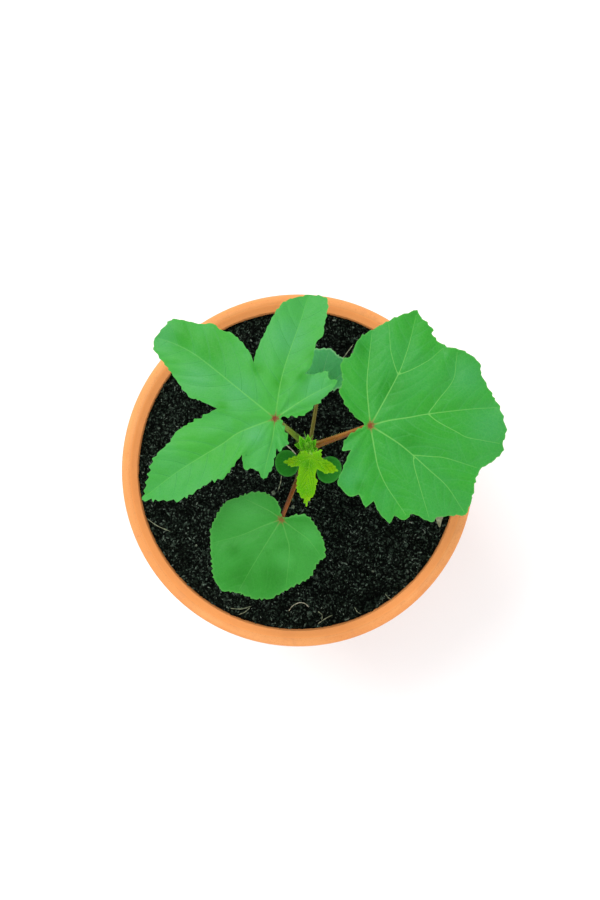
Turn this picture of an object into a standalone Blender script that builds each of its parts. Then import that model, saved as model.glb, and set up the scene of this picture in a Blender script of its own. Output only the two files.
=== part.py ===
"""Potted okra plant: a young okra with five leaves, in a clay pot filled with soil.

Metres, +Z up. The origin is the centre of the pot's flat underside.
Leaf outlines and veins are given in millimetres from the point where the stalk meets the blade.
"""

import math

import bmesh
import bpy
import numpy as np
from mathutils import Matrix, Vector
from mathutils.geometry import delaunay_2d_cdt, interpolate_bezier

MM = 0.001
GAP = 0.0003

# Pot
POT_HEIGHT = 0.205
RIM_RADIUS = 0.120
LIP_WIDTH = 0.0078
LIP_ROUND = 0.0028
COLLAR_HEIGHT = 0.040
COLLAR_TAPER = 0.0035
COLLAR_STEP = 0.0065
COLLAR_ROUND = 0.002
COLLAR_FILLET = 0.0012
MOUTH_TAPER = 0.0022
BASE_RADIUS = 0.074
WALL = 0.0085
FLOOR = 0.010
FLOOR_ROUND = 0.006
FOOT_ROUND = 0.003
BODY_TOP_RADIUS = RIM_RADIUS - COLLAR_TAPER - COLLAR_STEP
MOUTH_RADIUS = RIM_RADIUS - LIP_WIDTH
LIP_LEVEL = POT_HEIGHT - LIP_ROUND
# The inner wall as heights and radii: straight up the body, out behind the collar, then nearly upright
INNER_HEIGHTS = (FLOOR, 0.160, 0.180, LIP_LEVEL)
INNER_RADII = (BASE_RADIUS - WALL, BODY_TOP_RADIUS - WALL, MOUTH_RADIUS - MOUTH_TAPER, MOUTH_RADIUS)
POT_STEPS = 56
DRAIN_COUNT = 5
DRAIN_RADIUS = 0.0055
DRAIN_CIRCLE = 0.042
DRAIN_SIDES = 16

# Soil
SOIL_TOP = 0.192
SOIL_RELIEF = 0.0024
SOIL_RINGS = 16
SOIL_RING_CROWDING = 0.8
SOIL_CRUMBS = 520
CRUMB_RADII = (0.004, 0.008)
CRUMB_SHARES = (0.3, 1.0)
SOIL_SWELL = 0.35
SOIL_SWELL_X = 61
SOIL_SWELL_Y = 53
SOIL_SEED = 11

# Stem, from the taproot's end up to the tip of the shoot
STEM_FOOT = Vector((0.0070, 0.0016, SOIL_TOP))
ROOT_DEPTH = 0.034
ROOT_TIP_RADIUS = 0.0015
STEM_RADIUS = 0.0033
STEM_TOP_RADIUS = 0.0024
STEM_PATH = (
    (7.0, 1.6, 192), (6.9, 4.2, 220), (6.8, 7.5, 247), (6.6, 11.8, 264), (6.4, 16.2, 278), (6.3, 18.0, 290),
)
HOLE_RADIUS = STEM_RADIUS + 1.5 * GAP
HOLE_SIDES = 20

# Blades and stalks
BLADE = 0.0008
TOOTH_PEAK = 0.72
TOOTH_OUT = 0.55
TOOTH_IN = 0.45
NOTCH_ROOM = 9.0
# Distances between the points of a blade, as shares of its spacing
EDGE_CLEAR = 0.5
VEIN_END_CLEAR = 0.3
VEIN_MERGE = 0.4
FILL_CLEAR = 0.62
# A blade swells between its veins within this many spacings of them, and ripples this near its edge
SWELL_REACH = 1.3
SWELL_SHARPNESS = 2.5
RIPPLE_REACH = 0.8
TUBE_RESOLUTION = 2
STALK_POINTS = 12
STALK_BEND = 0.35

CLAY = (0.86, 0.37, 0.13)
EARTH = (0.010, 0.012, 0.009)
STEM_GREEN = (0.16, 0.20, 0.045)
RED_STALK = (0.30, 0.09, 0.030)
OLIVE_STALK = (0.22, 0.24, 0.06)
LEAF_GREEN = (0.075, 0.40, 0.075)
FRONT_GREEN = (0.062, 0.32, 0.058)
BLUE_GREEN = (0.062, 0.31, 0.095)
SEED_GREEN = (0.022, 0.16, 0.020)
LIME_GREEN = (0.13, 0.42, 0.018)
BUD_GREEN = (0.075, 0.30, 0.016)

# A tip is a pointed lobe end, a notch is a sharp inward corner; other points lie on a smooth edge.
TIP = "tip"
NOTCH = "notch"

LEFT_EDGE = (
    (5, 1), (13, 1), (19, 3), (29, 12), (35, 18), (38, 23, TIP), (32, 25), (32, 29), (24, 27),
    (18, 27, NOTCH), (22, 32), (25, 46), (29, 50), (30, 57), (32, 66), (31, 74), (20, 76, TIP), (7, 72),
    (1, 66), (-4, 57), (-11, 42), (-13, 34, NOTCH), (-16, 41), (-25, 51), (-33, 54), (-38, 58),
    (-46, 58), (-62, 61), (-68, 56), (-74, 49, TIP), (-74, 42), (-65, 30), (-53, 14), (-46, 11),
    (-35, 6, NOTCH), (-43, 2), (-59, -7), (-65, -15), (-74, -24), (-78, -36), (-82, -50, TIP),
    (-64, -50), (-56, -49), (-40, -39), (-31, -36), (-24, -27), (-20, -22, NOTCH), (-19, -30),
    (-12, -31), (-7, -37, TIP), (-2, -31), (1, -18, NOTCH), (3, -20), (8, -14), (7, -9), (5, -4),
)
LEFT_VEINS = (
    ((0, 0), (3, 20), (6, 32), (10, 44), (15, 58), (19, 71)),
    ((0, 0), (-21, 17), (-42, 34), (-50, 41), (-70, 47)),
    ((0, 0), (-21, -8), (-33, -16), (-59, -32), (-79, -47)),
    ((0, 0), (-2, -13), (-7, -23), (-7, -34)),
    ((0, 0), (18, 12), (35, 21)),
)
RIGHT_EDGE = (
    (-5, -1), (-9, -3), (-15, -8), (-17, -15), (-12, -15, NOTCH), (-14, -19), (-18, -29), (-20, -35),
    (-13, -43), (-7, -42, NOTCH), (-3, -50, TIP), (2, -46, NOTCH), (6, -54), (12, -60, TIP),
    (15, -55, NOTCH), (21, -58), (26, -54), (37, -59), (42, -56), (59, -55, TIP), (62, -48), (65, -33),
    (68, -27), (77, -21), (83, -15, TIP), (82, -11), (84, -3), (80, 11), (76, 18), (69, 31), (67, 39),
    (57, 46), (46, 49), (39, 55), (38, 60), (31, 67), (29, 71, TIP), (20, 68), (13, 65), (2, 59),
    (-6, 54), (-10, 47), (-12, 42), (-16, 41), (-18, 36), (-17, 26), (-19, 21), (-15, 12), (-10, 6),
    (-4, 1),
)
RIGHT_VEINS = (
    ((0, 0), (-2, 23), (-1, 38), (1, 55)),
    ((0, 0), (9, 16), (17, 31), (20, 38), (24, 50), (28, 66)),
    ((17, 31), (25, 34), (36, 40), (42, 45)),
    ((0, 0), (11, 3), (24, 5), (35, 7), (60, 10), (75, 11)),
    ((35, 7), (42, 16), (51, 28), (53, 40)),
    ((0, 0), (16, -10), (26, -18), (36, -27), (47, -37), (56, -50)),
    ((26, -18), (38, -19), (47, -20), (66, -26)),
    ((0, 0), (3, -17), (5, -26), (10, -37), (18, -49)),
)
FRONT_EDGE = (
    (0, 3), (-1, 8), (-4, 13), (-11, 17), (-19, 17), (-27, 14), (-36, 10), (-44, -4), (-45, -13),
    (-44, -31), (-43, -38), (-38, -46, TIP), (-28, -47), (-17, -51, TIP), (-7, -51, TIP), (9, -42),
    (18, -37), (23, -28), (28, -24, TIP), (27, -15), (24, -8), (17, 2), (9, 3), (3, 1),
)
FRONT_VEINS = (
    ((0, 0), (-5, -8), (-16, -26), (-24, -40)),
    ((0, 0), (3, -10), (5, -20), (3, -42)),
    ((0, 0), (-11, -4), (-25, -10), (-39, -14)),
    ((0, 0), (8, -6), (17, -13), (24, -22)),
    ((0, 0), (-7, 5), (-19, 11)),
)
REAR_EDGE = (
    (4, 0), (10, 1), (16, 4), (20, 8), (22, 14), (18, 20), (12, 24), (8, 28, TIP), (2, 28), (-6, 27),
    (-12, 24, TIP), (-16, 17), (-15, 10), (-10, 4), (-4, 1),
)
REAR_VEINS = (
    ((0, 2), (3, 13), (6, 24)),
    ((0, 2), (-7, 11), (-10, 20)),
    ((0, 2), (9, 7), (18, 14)),
)
YOUNG_EDGE = (
    (-2, 1.5), (-5.5, 2.5), (-7, 0), (-12, -2), (-17, -4.5, TIP), (-12, -7.5), (-7, -7, NOTCH),
    (-7.5, -11), (-8.5, -17), (-8.5, -25), (-5, -28), (-2.5, -33, TIP), (0, -27), (3, -24), (3.5, -19),
    (4.5, -16), (3, -14), (4, -9, NOTCH), (8, -11), (10, -12), (17.4, -10.4, TIP), (15, -7), (12, -4.5),
    (7, -2), (7, 0), (6, 3), (2, 1.5), (0, -0.5),
)
YOUNG_VEINS = (
    ((0, -2), (-1.5, -12), (-3, -22), (-2.5, -30)),
    ((0, -2), (7, -5.5), (15, -9)),
    ((0, -2), (-8, -4), (-14, -4.5)),
)

# Each leaf: where its stalk leaves the stem, where it meets the blade, and how the blade is bent.
# lean is the blade's rise for each metre along X and Y, droop its fall with the square of the distance.
LEAVES = {
    "leaf_rear": dict(
        edge=REAR_EDGE, veins=REAR_VEINS, node=258, joint=(13.4, 51.1, 271), lean=(0.0, 0.10), droop=6.0,
        puff=0.8, wave=0.6, waves=7, pitch=4.0, tooth=1.0, spacing=5.0, colour=BLUE_GREEN,
        stalk=(1.5, 1.1), rise=18, end_rise=8, stalk_colour=OLIVE_STALK,
    ),
    "leaf_front": dict(
        edge=FRONT_EDGE, veins=FRONT_VEINS, node=266, joint=(-10.2, -29.6, 283), lean=(0.0, 0.08), droop=1.2,
        puff=1.3, wave=1.0, waves=9, pitch=4.8, tooth=1.2, spacing=6.0, colour=FRONT_GREEN,
        stalk=(1.7, 1.3), rise=24, end_rise=10, stalk_colour=RED_STALK,
    ),
    "leaf_right": dict(
        edge=RIGHT_EDGE, veins=RIGHT_VEINS, node=275, joint=(44.4, 29.0, 314), lean=(-0.04, 0.0), droop=1.0,
        puff=1.8, wave=1.6, waves=11, pitch=5.2, tooth=1.5, spacing=6.2, colour=LEAF_GREEN,
        stalk=(2.3, 1.6), rise=40, end_rise=22, stalk_colour=RED_STALK,
    ),
    "leaf_left": dict(
        edge=LEFT_EDGE, veins=LEFT_VEINS, node=282, joint=(-13.6, 33.2, 317), lean=(0.0, 0.0), droop=1.1,
        puff=1.8, wave=1.6, waves=13, pitch=5.2, tooth=1.5, spacing=6.2, colour=LEAF_GREEN,
        stalk=(2.0, 1.5), rise=48, end_rise=35, stalk_colour=OLIVE_STALK,
    ),
    "leaf_young": dict(
        edge=YOUNG_EDGE, veins=YOUNG_VEINS, node=286.5, joint=(8.0, 11.3, 300), lean=(0.0, 0.20), droop=6.0,
        puff=1.0, wave=0.8, waves=7, pitch=3.2, tooth=0.8, spacing=3.6, colour=LIME_GREEN,
        stalk=(1.1, 0.9), rise=70, end_rise=40, stalk_colour=OLIVE_STALK,
    ),
}
DROOP_UNIT = 0.001

# Seed leaves: centre of the blade, its radius, and the half width of its flat stalk
SEED_NODE = 249
SEED_LEAVES = {
    "seed_leaf_left": dict(centre=(-6.9, 5.4, 252), radius=8.2),
    "seed_leaf_right": dict(centre=(20.5, 1.2, 252), radius=8.4),
}
SEED_STALK_HALF = 1.1
SEED_POINTS = 26
SEED_SPACING = 3.2
SEED_DISH = 0.9
SEED_OVAL = 0.06
SEED_STALK_SHARE = 0.6

# Bud: a pointed core and the folded bud leaves around it, as azimuth, lean from upright, length and width
BUD_BASE = Vector((0.0063, 0.0180, 0.290 + GAP))
BUD_PROFILE = ((0.0, 0.0), (2.3, 0.0), (3.0, 1.6), (2.6, 4.4), (1.3, 7.4), (0.0, 9.2))
BUD_STEPS = 12
BUD_LEAVES = (
    (118, 62, 9.0, 4.0), (78, 50, 8.0, 3.4), (152, 70, 11.0, 3.6), (20, 48, 7.0, 3.4), (245, 46, 7.5, 3.8),
    (300, 55, 7.0, 3.0), (200, 58, 8.0, 2.6),
)
BUD_LEAF_FLATNESS = 0.38
BUD_LEAF_POINT = 0.08
BUD_LEAF_LOWEST = 1.8
BUD_LEAF_SPACING = 0.55
BUD_LEAF_SIDES = 6


def clear_scene():
    """Remove whatever the file opened with."""
    for item in list(bpy.data.objects):
        bpy.data.objects.remove(item, do_unlink=True)


def make_collection(name):
    group = bpy.data.collections.new(name)
    bpy.context.scene.collection.children.link(group)
    return group


def make_material(name, colour, roughness):
    material = bpy.data.materials.new(name)
    material.use_nodes = True
    shader = material.node_tree.nodes["Principled BSDF"]
    shader.inputs["Base Color"].default_value = (*colour, 1.0)
    shader.inputs["Roughness"].default_value = roughness
    shader.inputs["Metallic"].default_value = 0.0
    return material


def add_object(name, mesh, group, material=None):
    item = bpy.data.objects.new(name, mesh)
    group.objects.link(item)
    if material:
        mesh.materials.append(material)
    return item


def smooth_mesh(mesh, degrees):
    mesh.shade_smooth()
    mesh.set_sharp_from_angle(angle=math.radians(degrees))


def arc(centre_x, centre_z, radius, start, end, count):
    """Points on a round corner of a profile, angles in degrees from +X."""
    points = []
    for step in range(count):
        angle = math.radians(start + (end - start) * step / (count - 1))
        points.append((centre_x + radius * math.cos(angle), centre_z + radius * math.sin(angle)))
    return points


def profile_mesh(name, points):
    """An open chain of edges in the XZ plane."""
    mesh = bpy.data.meshes.new(name)
    chain = bmesh.new()
    verts = [chain.verts.new((x, 0.0, z)) for x, z in points]
    for first, second in zip(verts, verts[1:]):
        chain.edges.new((first, second))
    chain.to_mesh(mesh)
    chain.free()
    return mesh


def turn(item, steps):
    """Turn an object's profile once round the Z axis."""
    screw = item.modifiers.new("Turn", "SCREW")
    screw.axis = "Z"
    screw.angle = math.tau
    screw.steps = steps
    screw.render_steps = steps
    screw.use_merge_vertices = True
    screw.merge_threshold = 0.00001
    return screw


def apply_modifiers(item, group):
    """Give an object's evaluated shape a mesh of its own, and return the new object."""
    evaluated = item.evaluated_get(bpy.context.evaluated_depsgraph_get())
    mesh = bpy.data.meshes.new_from_object(evaluated)
    name = item.name
    place = item.matrix_world.copy()
    bpy.data.objects.remove(item)
    mesh.name = name
    result = bpy.data.objects.new(name, mesh)
    result.matrix_world = place
    group.objects.link(result)
    return result


def cut_with(item, cutter, name):
    cut = item.modifiers.new(name, "BOOLEAN")
    cut.operation = "DIFFERENCE"
    cut.solver = "EXACT"
    cut.object = cutter


def hide_cutter(item):
    item.hide_render = True
    item.display_type = "WIRE"


def add_cylinder(name, radius, low, high, sides, group):
    """A closed upright cylinder round the Z axis, from low to high."""
    mesh = bpy.data.meshes.new(name)
    body = bmesh.new()
    bmesh.ops.create_cone(
        body, cap_ends=True, segments=sides, radius1=radius, radius2=radius, depth=high - low,
        matrix=Matrix.Translation((0, 0, (low + high) / 2)),
    )
    body.to_mesh(mesh)
    body.free()
    return add_object(name, mesh, group)


def wall_radius_outside(height):
    """Outer radius of the body below the collar."""
    return BASE_RADIUS + (BODY_TOP_RADIUS - BASE_RADIUS) * height / (POT_HEIGHT - COLLAR_HEIGHT)


def inner_wall(clear):
    """The inside of the pot from its floor up to the lip, drawn in by a clearance."""
    first, *upper = zip(INNER_RADII, INNER_HEIGHTS)
    points = [(first[0] - FLOOR_ROUND - clear, FLOOR + clear)]
    points += [(np.interp(FLOOR + FLOOR_ROUND, INNER_HEIGHTS, INNER_RADII) - clear, FLOOR + FLOOR_ROUND)]
    return points + [(radius - clear, height) for radius, height in upper]


def pot_profile():
    """Half section of the pot, from the inside centre over the lip and down the outside."""
    collar_base = POT_HEIGHT - COLLAR_HEIGHT
    collar_foot = RIM_RADIUS - COLLAR_TAPER
    points = [(0.0, FLOOR)]
    points += inner_wall(0.0)[:-1]
    points += arc(MOUTH_RADIUS + LIP_ROUND, LIP_LEVEL, LIP_ROUND, 180, 90, 5)
    points += arc(RIM_RADIUS - LIP_ROUND, LIP_LEVEL, LIP_ROUND, 90, 0, 5)
    points += arc(collar_foot - COLLAR_ROUND, collar_base + COLLAR_ROUND, COLLAR_ROUND, 0, -90, 3)
    points += [(BODY_TOP_RADIUS, collar_base - COLLAR_FILLET)]
    points += [(wall_radius_outside(collar_base * 0.5), collar_base * 0.5)]
    points += arc(wall_radius_outside(FOOT_ROUND) - FOOT_ROUND, FOOT_ROUND, FOOT_ROUND, 0, -90, 4)
    points += [(0.0, 0.0)]
    return points


def build_pot(group, cutters):
    """The pot, turned in one wall, with its drainage holes."""
    pot = add_object("pot", profile_mesh("pot", pot_profile()), group, make_material("clay", CLAY, 0.78))
    turn(pot, POT_STEPS)
    for number in range(DRAIN_COUNT):
        angle = math.tau * number / DRAIN_COUNT
        name = f"drain_cutter_{number + 1}"
        drain = add_cylinder(name, DRAIN_RADIUS, -FLOOR, 2 * FLOOR, DRAIN_SIDES, cutters)
        drain.location = (DRAIN_CIRCLE * math.cos(angle), DRAIN_CIRCLE * math.sin(angle), 0)
        hide_cutter(drain)
        cut_with(pot, drain, f"Drain {number + 1}")
    return pot


def crumb_height(x, y, crumbs):
    """Relief of the soil at a point: the tallest crumb there, over a slow unevenness."""
    slow = math.sin(x * SOIL_SWELL_X + 1.0) * math.cos(y * SOIL_SWELL_Y - 0.4)
    near = np.hypot(crumbs[:, 0] - x, crumbs[:, 1] - y) / crumbs[:, 2]
    bump = np.max(np.clip(1.0 - near * near, 0.0, 1.0) * crumbs[:, 3])
    return SOIL_RELIEF * (SOIL_SWELL * 0.5 * slow + bump)


def build_soil(group, cutters):
    """Soil: a filling turned to the pot's inside, its top raised in crumbs, with a hole for the stem."""
    edge = float(np.interp(SOIL_TOP, INNER_HEIGHTS, INNER_RADII)) - GAP
    shares = [(number / SOIL_RINGS) ** SOIL_RING_CROWDING for number in range(SOIL_RINGS + 1)]
    points = [(edge * share, SOIL_TOP) for share in shares]
    points += reversed(inner_wall(GAP)[:-1])
    points += [(0.0, FLOOR + GAP)]
    turned = add_object("soil", profile_mesh("soil", points), group, make_material("earth", EARTH, 0.95))
    turn(turned, POT_STEPS)
    soil = apply_modifiers(turned, group)
    draw = np.random.default_rng(SOIL_SEED)
    crumbs = np.column_stack((
        draw.uniform(-edge, edge, SOIL_CRUMBS), draw.uniform(-edge, edge, SOIL_CRUMBS),
        draw.uniform(*CRUMB_RADII, SOIL_CRUMBS), draw.uniform(*CRUMB_SHARES, SOIL_CRUMBS),
    ))
    for vert in soil.data.vertices:
        reach = math.hypot(vert.co.x, vert.co.y)
        if vert.co.z > SOIL_TOP - GAP and reach < edge - GAP:
            vert.co.z += crumb_height(vert.co.x, vert.co.y, crumbs)
    hole = add_cylinder("stem_hole_cutter", HOLE_RADIUS, -ROOT_DEPTH - GAP, 0.01, HOLE_SIDES, cutters)
    hole.location = STEM_FOOT
    hide_cutter(hole)
    cut_with(soil, hole, "Stem hole")
    smooth_mesh(soil.data, 50)
    return soil


def add_tube(name, points, radii, group, material):
    """A tapering tube through the points, with closed ends."""
    curve = bpy.data.curves.new(name, "CURVE")
    curve.dimensions = "3D"
    curve.bevel_depth = 1.0
    curve.bevel_resolution = TUBE_RESOLUTION
    curve.use_fill_caps = True
    spline = curve.splines.new("POLY")
    spline.points.add(len(points) - 1)
    for target, point, radius in zip(spline.points, points, radii):
        target.co = (*point, 1.0)
        target.radius = radius
    curve.materials.append(material)
    item = bpy.data.objects.new(name, curve)
    group.objects.link(item)
    return item


def smooth_path(points, per_span):
    """A smooth chain through the given points, open at both ends."""
    points = [np.array(point[:], dtype=float) for point in points]
    padded = [2 * points[0] - points[1], *points, 2 * points[-1] - points[-2]]
    path = []
    for index in range(len(points) - 1):
        before, start, end, after = padded[index:index + 4]
        for step in range(per_span):
            t = step / per_span
            path.append(0.5 * (
                2 * start + (end - before) * t + (2 * before - 5 * start + 4 * end - after) * t ** 2
                + (3 * start - before - 3 * end + after) * t ** 3
            ))
    path.append(points[-1])
    return path


def stem_at(height):
    """Centre of the stem at a height given in millimetres, and its radius there."""
    heights = [point[2] for point in STEM_PATH]
    x = np.interp(height, heights, [point[0] for point in STEM_PATH])
    y = np.interp(height, heights, [point[1] for point in STEM_PATH])
    radius = np.interp(height, (heights[0], heights[-1]), (STEM_RADIUS, STEM_TOP_RADIUS))
    return Vector((x, y, height)) * MM, radius


def build_stem(group):
    """The stem, narrowing upwards, with the taproot narrowing downwards below the soil."""
    points = [STEM_FOOT - Vector((0, 0, ROOT_DEPTH)), STEM_FOOT - Vector((0, 0, ROOT_DEPTH * 0.5))]
    radii = [ROOT_TIP_RADIUS, STEM_RADIUS * 0.8]
    for point in smooth_path(STEM_PATH, 3):
        centre = Vector(point) * MM
        points.append(centre)
        radii.append(stem_at(point[2])[1])
    return add_tube("stem", points, radii, group, make_material("stem", STEM_GREEN, 0.55))


def build_stalk(name, leaf, group):
    """A leaf's stalk: out of the stem at its rise, then flattening out under the blade's joint."""
    radius, end_radius = (value * MM for value in leaf["stalk"])
    centre, stem_radius = stem_at(leaf["node"])
    joint = Vector(leaf["joint"]) * MM
    heading = Vector((joint.x - centre.x, joint.y - centre.y, 0)).normalized()
    rise = math.radians(leaf["rise"])
    end_rise = math.radians(leaf["end_rise"])
    out = heading * math.cos(rise) + Vector((0, 0, math.sin(rise)))
    last = heading * math.cos(end_rise) + Vector((0, 0, math.sin(end_rise)))
    start = centre + heading * (stem_radius + 1.5 * GAP + radius * math.sin(rise))
    drop = BLADE / 2 + 1.5 * GAP + end_radius * math.cos(end_rise)
    end = joint - Vector((0, 0, drop))
    bend = (end - start).length * STALK_BEND
    steps = [step / (STALK_POINTS - 1) for step in range(STALK_POINTS)]
    points = interpolate_bezier(start, start + out * bend, end - last * bend, end, STALK_POINTS)
    radii = [end_radius + (radius - end_radius) * (1 - t) ** 2 for t in steps]
    material = make_material(f"{name}_stalk", leaf["stalk_colour"], 0.5)
    return add_tube(f"{name}_stalk", points, radii, group, material)


def turn_to_corner(points):
    """The edge's points, begun at one of its corners."""
    first = next(index for index, point in enumerate(points) if len(point) > 2)
    return list(points[first:]) + list(points[:first])


def toothed_edge(points, pitch, depth):
    """The blade's edge as flat points: smooth between corners, with teeth that lean towards the tips."""
    ring = turn_to_corner(points)
    corners = [index for index, point in enumerate(ring) if len(point) > 2]
    edge = []
    for number, first in enumerate(corners):
        last = corners[number + 1] if number + 1 < len(corners) else len(ring)
        span = [ring[index % len(ring)] for index in range(first, last + 1)]
        chain = np.array(smooth_path([point[:2] for point in span], 8))
        steps = np.hypot(*np.diff(chain, axis=0).T)
        along = np.concatenate(([0.0], np.cumsum(steps)))
        length = along[-1]
        teeth = max(1, round(length / pitch))
        peak = 1 - TOOTH_PEAK if span[0][2] == TIP else TOOTH_PEAK
        for tooth in range(teeth):
            base = 0.0 if tooth == 0 else -TOOTH_IN * depth
            for share, push in ((0.0, base), (peak, TOOTH_OUT * depth)):
                place = (tooth + share) / teeth * length
                x = np.interp(place, along, chain[:, 0])
                y = np.interp(place, along, chain[:, 1])
                ahead = min(place + 0.4, length)
                behind = max(place - 0.4, 0.0)
                dx = np.interp(ahead, along, chain[:, 0]) - np.interp(behind, along, chain[:, 0])
                dy = np.interp(ahead, along, chain[:, 1]) - np.interp(behind, along, chain[:, 1])
                scale = math.hypot(dx, dy)
                room = 1.0
                if span[0][2] == NOTCH:
                    room = min(room, place / NOTCH_ROOM)
                if span[-1][2] == NOTCH:
                    room = min(room, (length - place) / NOTCH_ROOM)
                edge.append((x + dy / scale * push * room, y - dx / scale * push * room))
    return edge


def plain_edge(radius, stalk_half, reach, count):
    """A seed leaf's edge: round, with its flat stalk running out along +X to the stem."""
    opening = math.asin(stalk_half / radius) * 1.6
    points = []
    for step in range(count):
        angle = opening + (math.tau - 2 * opening) * step / (count - 1)
        wide = 1.0 - SEED_OVAL * math.cos(2 * angle)
        points.append((radius * wide * math.cos(angle), radius * wide * math.sin(angle)))
    points.append((reach, -stalk_half))
    points.append((reach, stalk_half))
    return points


def inside_edge(x, y, edge):
    """Whether a flat point lies within the closed edge."""
    inside = False
    for (x1, y1), (x2, y2) in zip(edge, edge[1:] + edge[:1]):
        if (y1 > y) != (y2 > y) and x < (x2 - x1) * (y - y1) / (y2 - y1) + x1:
            inside = not inside
    return inside


def distance_to_chain(points, chain):
    """Shortest distance from each point to a chain of straight pieces."""
    points = np.asarray(points, dtype=float)
    best = np.full(len(points), 1e9)
    for start, end in zip(chain, chain[1:]):
        start = np.array(start[:2], dtype=float)
        run = np.array(end[:2], dtype=float) - start
        share = np.clip(((points - start) @ run) / (run @ run), 0.0, 1.0)
        best = np.minimum(best, np.hypot(*(points - start - share[:, None] * run).T))
    return best


def sheet_points(edge, veins, spacing):
    """Points, fixed edges and outline of a blade: its edge, its veins and an even filling between them."""
    closed = edge + edge[:1]
    coords = list(edge)
    lines = []
    for vein in veins:
        chain = np.array(smooth_path(vein, 6))
        along = np.concatenate(([0.0], np.cumsum(np.hypot(*np.diff(chain, axis=0).T))))
        count = max(2, round(along[-1] / spacing) + 1)
        previous = None
        for place in np.linspace(0.0, along[-1], count):
            point = (np.interp(place, along, chain[:, 0]), np.interp(place, along, chain[:, 1]))
            if not inside_edge(*point, edge) or distance_to_chain([point], closed)[0] < VEIN_END_CLEAR * spacing:
                previous = None
                continue
            merge = VEIN_MERGE * spacing
            near = [number for number, other in enumerate(coords) if math.dist(other, point) < merge]
            index = near[0] if near else len(coords)
            if not near:
                coords.append(point)
            if previous is not None and previous != index:
                lines.append((previous, index))
            previous = index
    rim = np.array(edge)
    low, high = rim.min(axis=0), rim.max(axis=0)
    row_height = spacing * math.sqrt(3) / 2
    for row in range(int((high[1] - low[1]) / row_height) + 1):
        y = low[1] + (row + 0.5) * row_height
        for column in range(int((high[0] - low[0]) / spacing) + 2):
            x = low[0] + (column + 0.5 * (row % 2)) * spacing
            if not inside_edge(x, y, edge):
                continue
            if distance_to_chain([(x, y)], closed)[0] < EDGE_CLEAR * spacing:
                continue
            if min(math.dist((x, y), other) for other in coords[len(edge):]) < FILL_CLEAR * spacing:
                continue
            coords.append((x, y))
    return coords, lines


def blade_mesh(name, edge, veins, spacing, height):
    """A thin open sheet in triangles, raised by the height rule; sizes in millimetres."""
    coords, lines = sheet_points(edge, veins, spacing)
    flat = [Vector(point) for point in coords]
    verts, _, faces, *_ = delaunay_2d_cdt(flat, lines, [list(range(len(edge)))], 1, 1e-5)
    mesh = bpy.data.meshes.new(name)
    raised = [(point.x * MM, point.y * MM, height(point.x, point.y) * MM) for point in verts]
    mesh.from_pydata(raised, [], [list(face) for face in faces])
    body = bmesh.new()
    body.from_mesh(mesh)
    bmesh.ops.delete(body, geom=[vert for vert in body.verts if not vert.link_faces], context="VERTS")
    bmesh.ops.recalc_face_normals(body, faces=body.faces)
    if sum(face.normal.z for face in body.faces) < 0:
        bmesh.ops.reverse_faces(body, faces=body.faces)
    body.to_mesh(mesh)
    body.free()
    smooth_mesh(mesh, 60)
    return mesh


def thicken(item):
    wall = item.modifiers.new("Thickness", "SOLIDIFY")
    wall.thickness = BLADE
    wall.offset = 0.0
    wall.use_even_offset = False


def leaf_height(leaf):
    """The rule for a blade's height: lean, droop, swelling between the veins and a waved margin."""
    chains = [smooth_path(vein, 4) for vein in leaf["veins"]]
    closed = list(leaf["edge"]) + [leaf["edge"][0]]
    reach = leaf["spacing"] * SWELL_REACH

    def height(x, y):
        distance = math.hypot(x, y)
        level = leaf["lean"][0] * x + leaf["lean"][1] * y
        level -= leaf["droop"] * DROOP_UNIT * distance * distance
        near = min(distance_to_chain([(x, y)], chain)[0] for chain in chains)
        swell = leaf["puff"] * (1.0 - math.exp(-(near / reach) ** 2 * SWELL_SHARPNESS))
        margin = math.exp(-distance_to_chain([(x, y)], closed)[0] / (reach * RIPPLE_REACH))
        ripple = leaf["wave"] * margin * math.sin(leaf["waves"] * math.atan2(y, x) + 0.6)
        calm = min(1.0, distance / (2.0 * reach))
        return level + swell * calm + ripple * calm

    return height


def build_blade(name, leaf, group):
    edge = toothed_edge(leaf["edge"], leaf["pitch"], leaf["tooth"])
    mesh = blade_mesh(name, edge, leaf["veins"], leaf["spacing"], leaf_height(leaf))
    blade = add_object(name, mesh, group, make_material(name, leaf["colour"], 0.5))
    blade.location = Vector(leaf["joint"]) * MM
    thicken(blade)
    return blade


def build_seed_leaf(name, leaf, group, material):
    """A round seed leaf and its flat stalk, slightly dished, reaching to the stem."""
    centre = Vector(leaf["centre"]) * MM
    node, stem_radius = stem_at(SEED_NODE)
    back = Vector((node.x - centre.x, node.y - centre.y))
    reach = (back.length - stem_radius - GAP) / MM
    fall = (centre.z - node.z) / MM
    stalk_start = leaf["radius"] * SEED_STALK_SHARE
    edge = plain_edge(leaf["radius"], SEED_STALK_HALF, reach, SEED_POINTS)

    def height(x, y):
        dish = SEED_DISH * (x * x + y * y) / leaf["radius"] ** 2
        along = max(0.0, x - stalk_start) / (reach - stalk_start)
        return dish * (1.0 - along) - fall * along

    midrib = ((reach - 1.5, 0), (0, 0), (-stalk_start, 0))
    mesh = blade_mesh(name, edge, (midrib,), SEED_SPACING, height)
    blade = add_object(name, mesh, group, material)
    blade.location = centre
    blade.rotation_euler = (0, 0, math.atan2(back.y, back.x))
    thicken(blade)
    return blade


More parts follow.
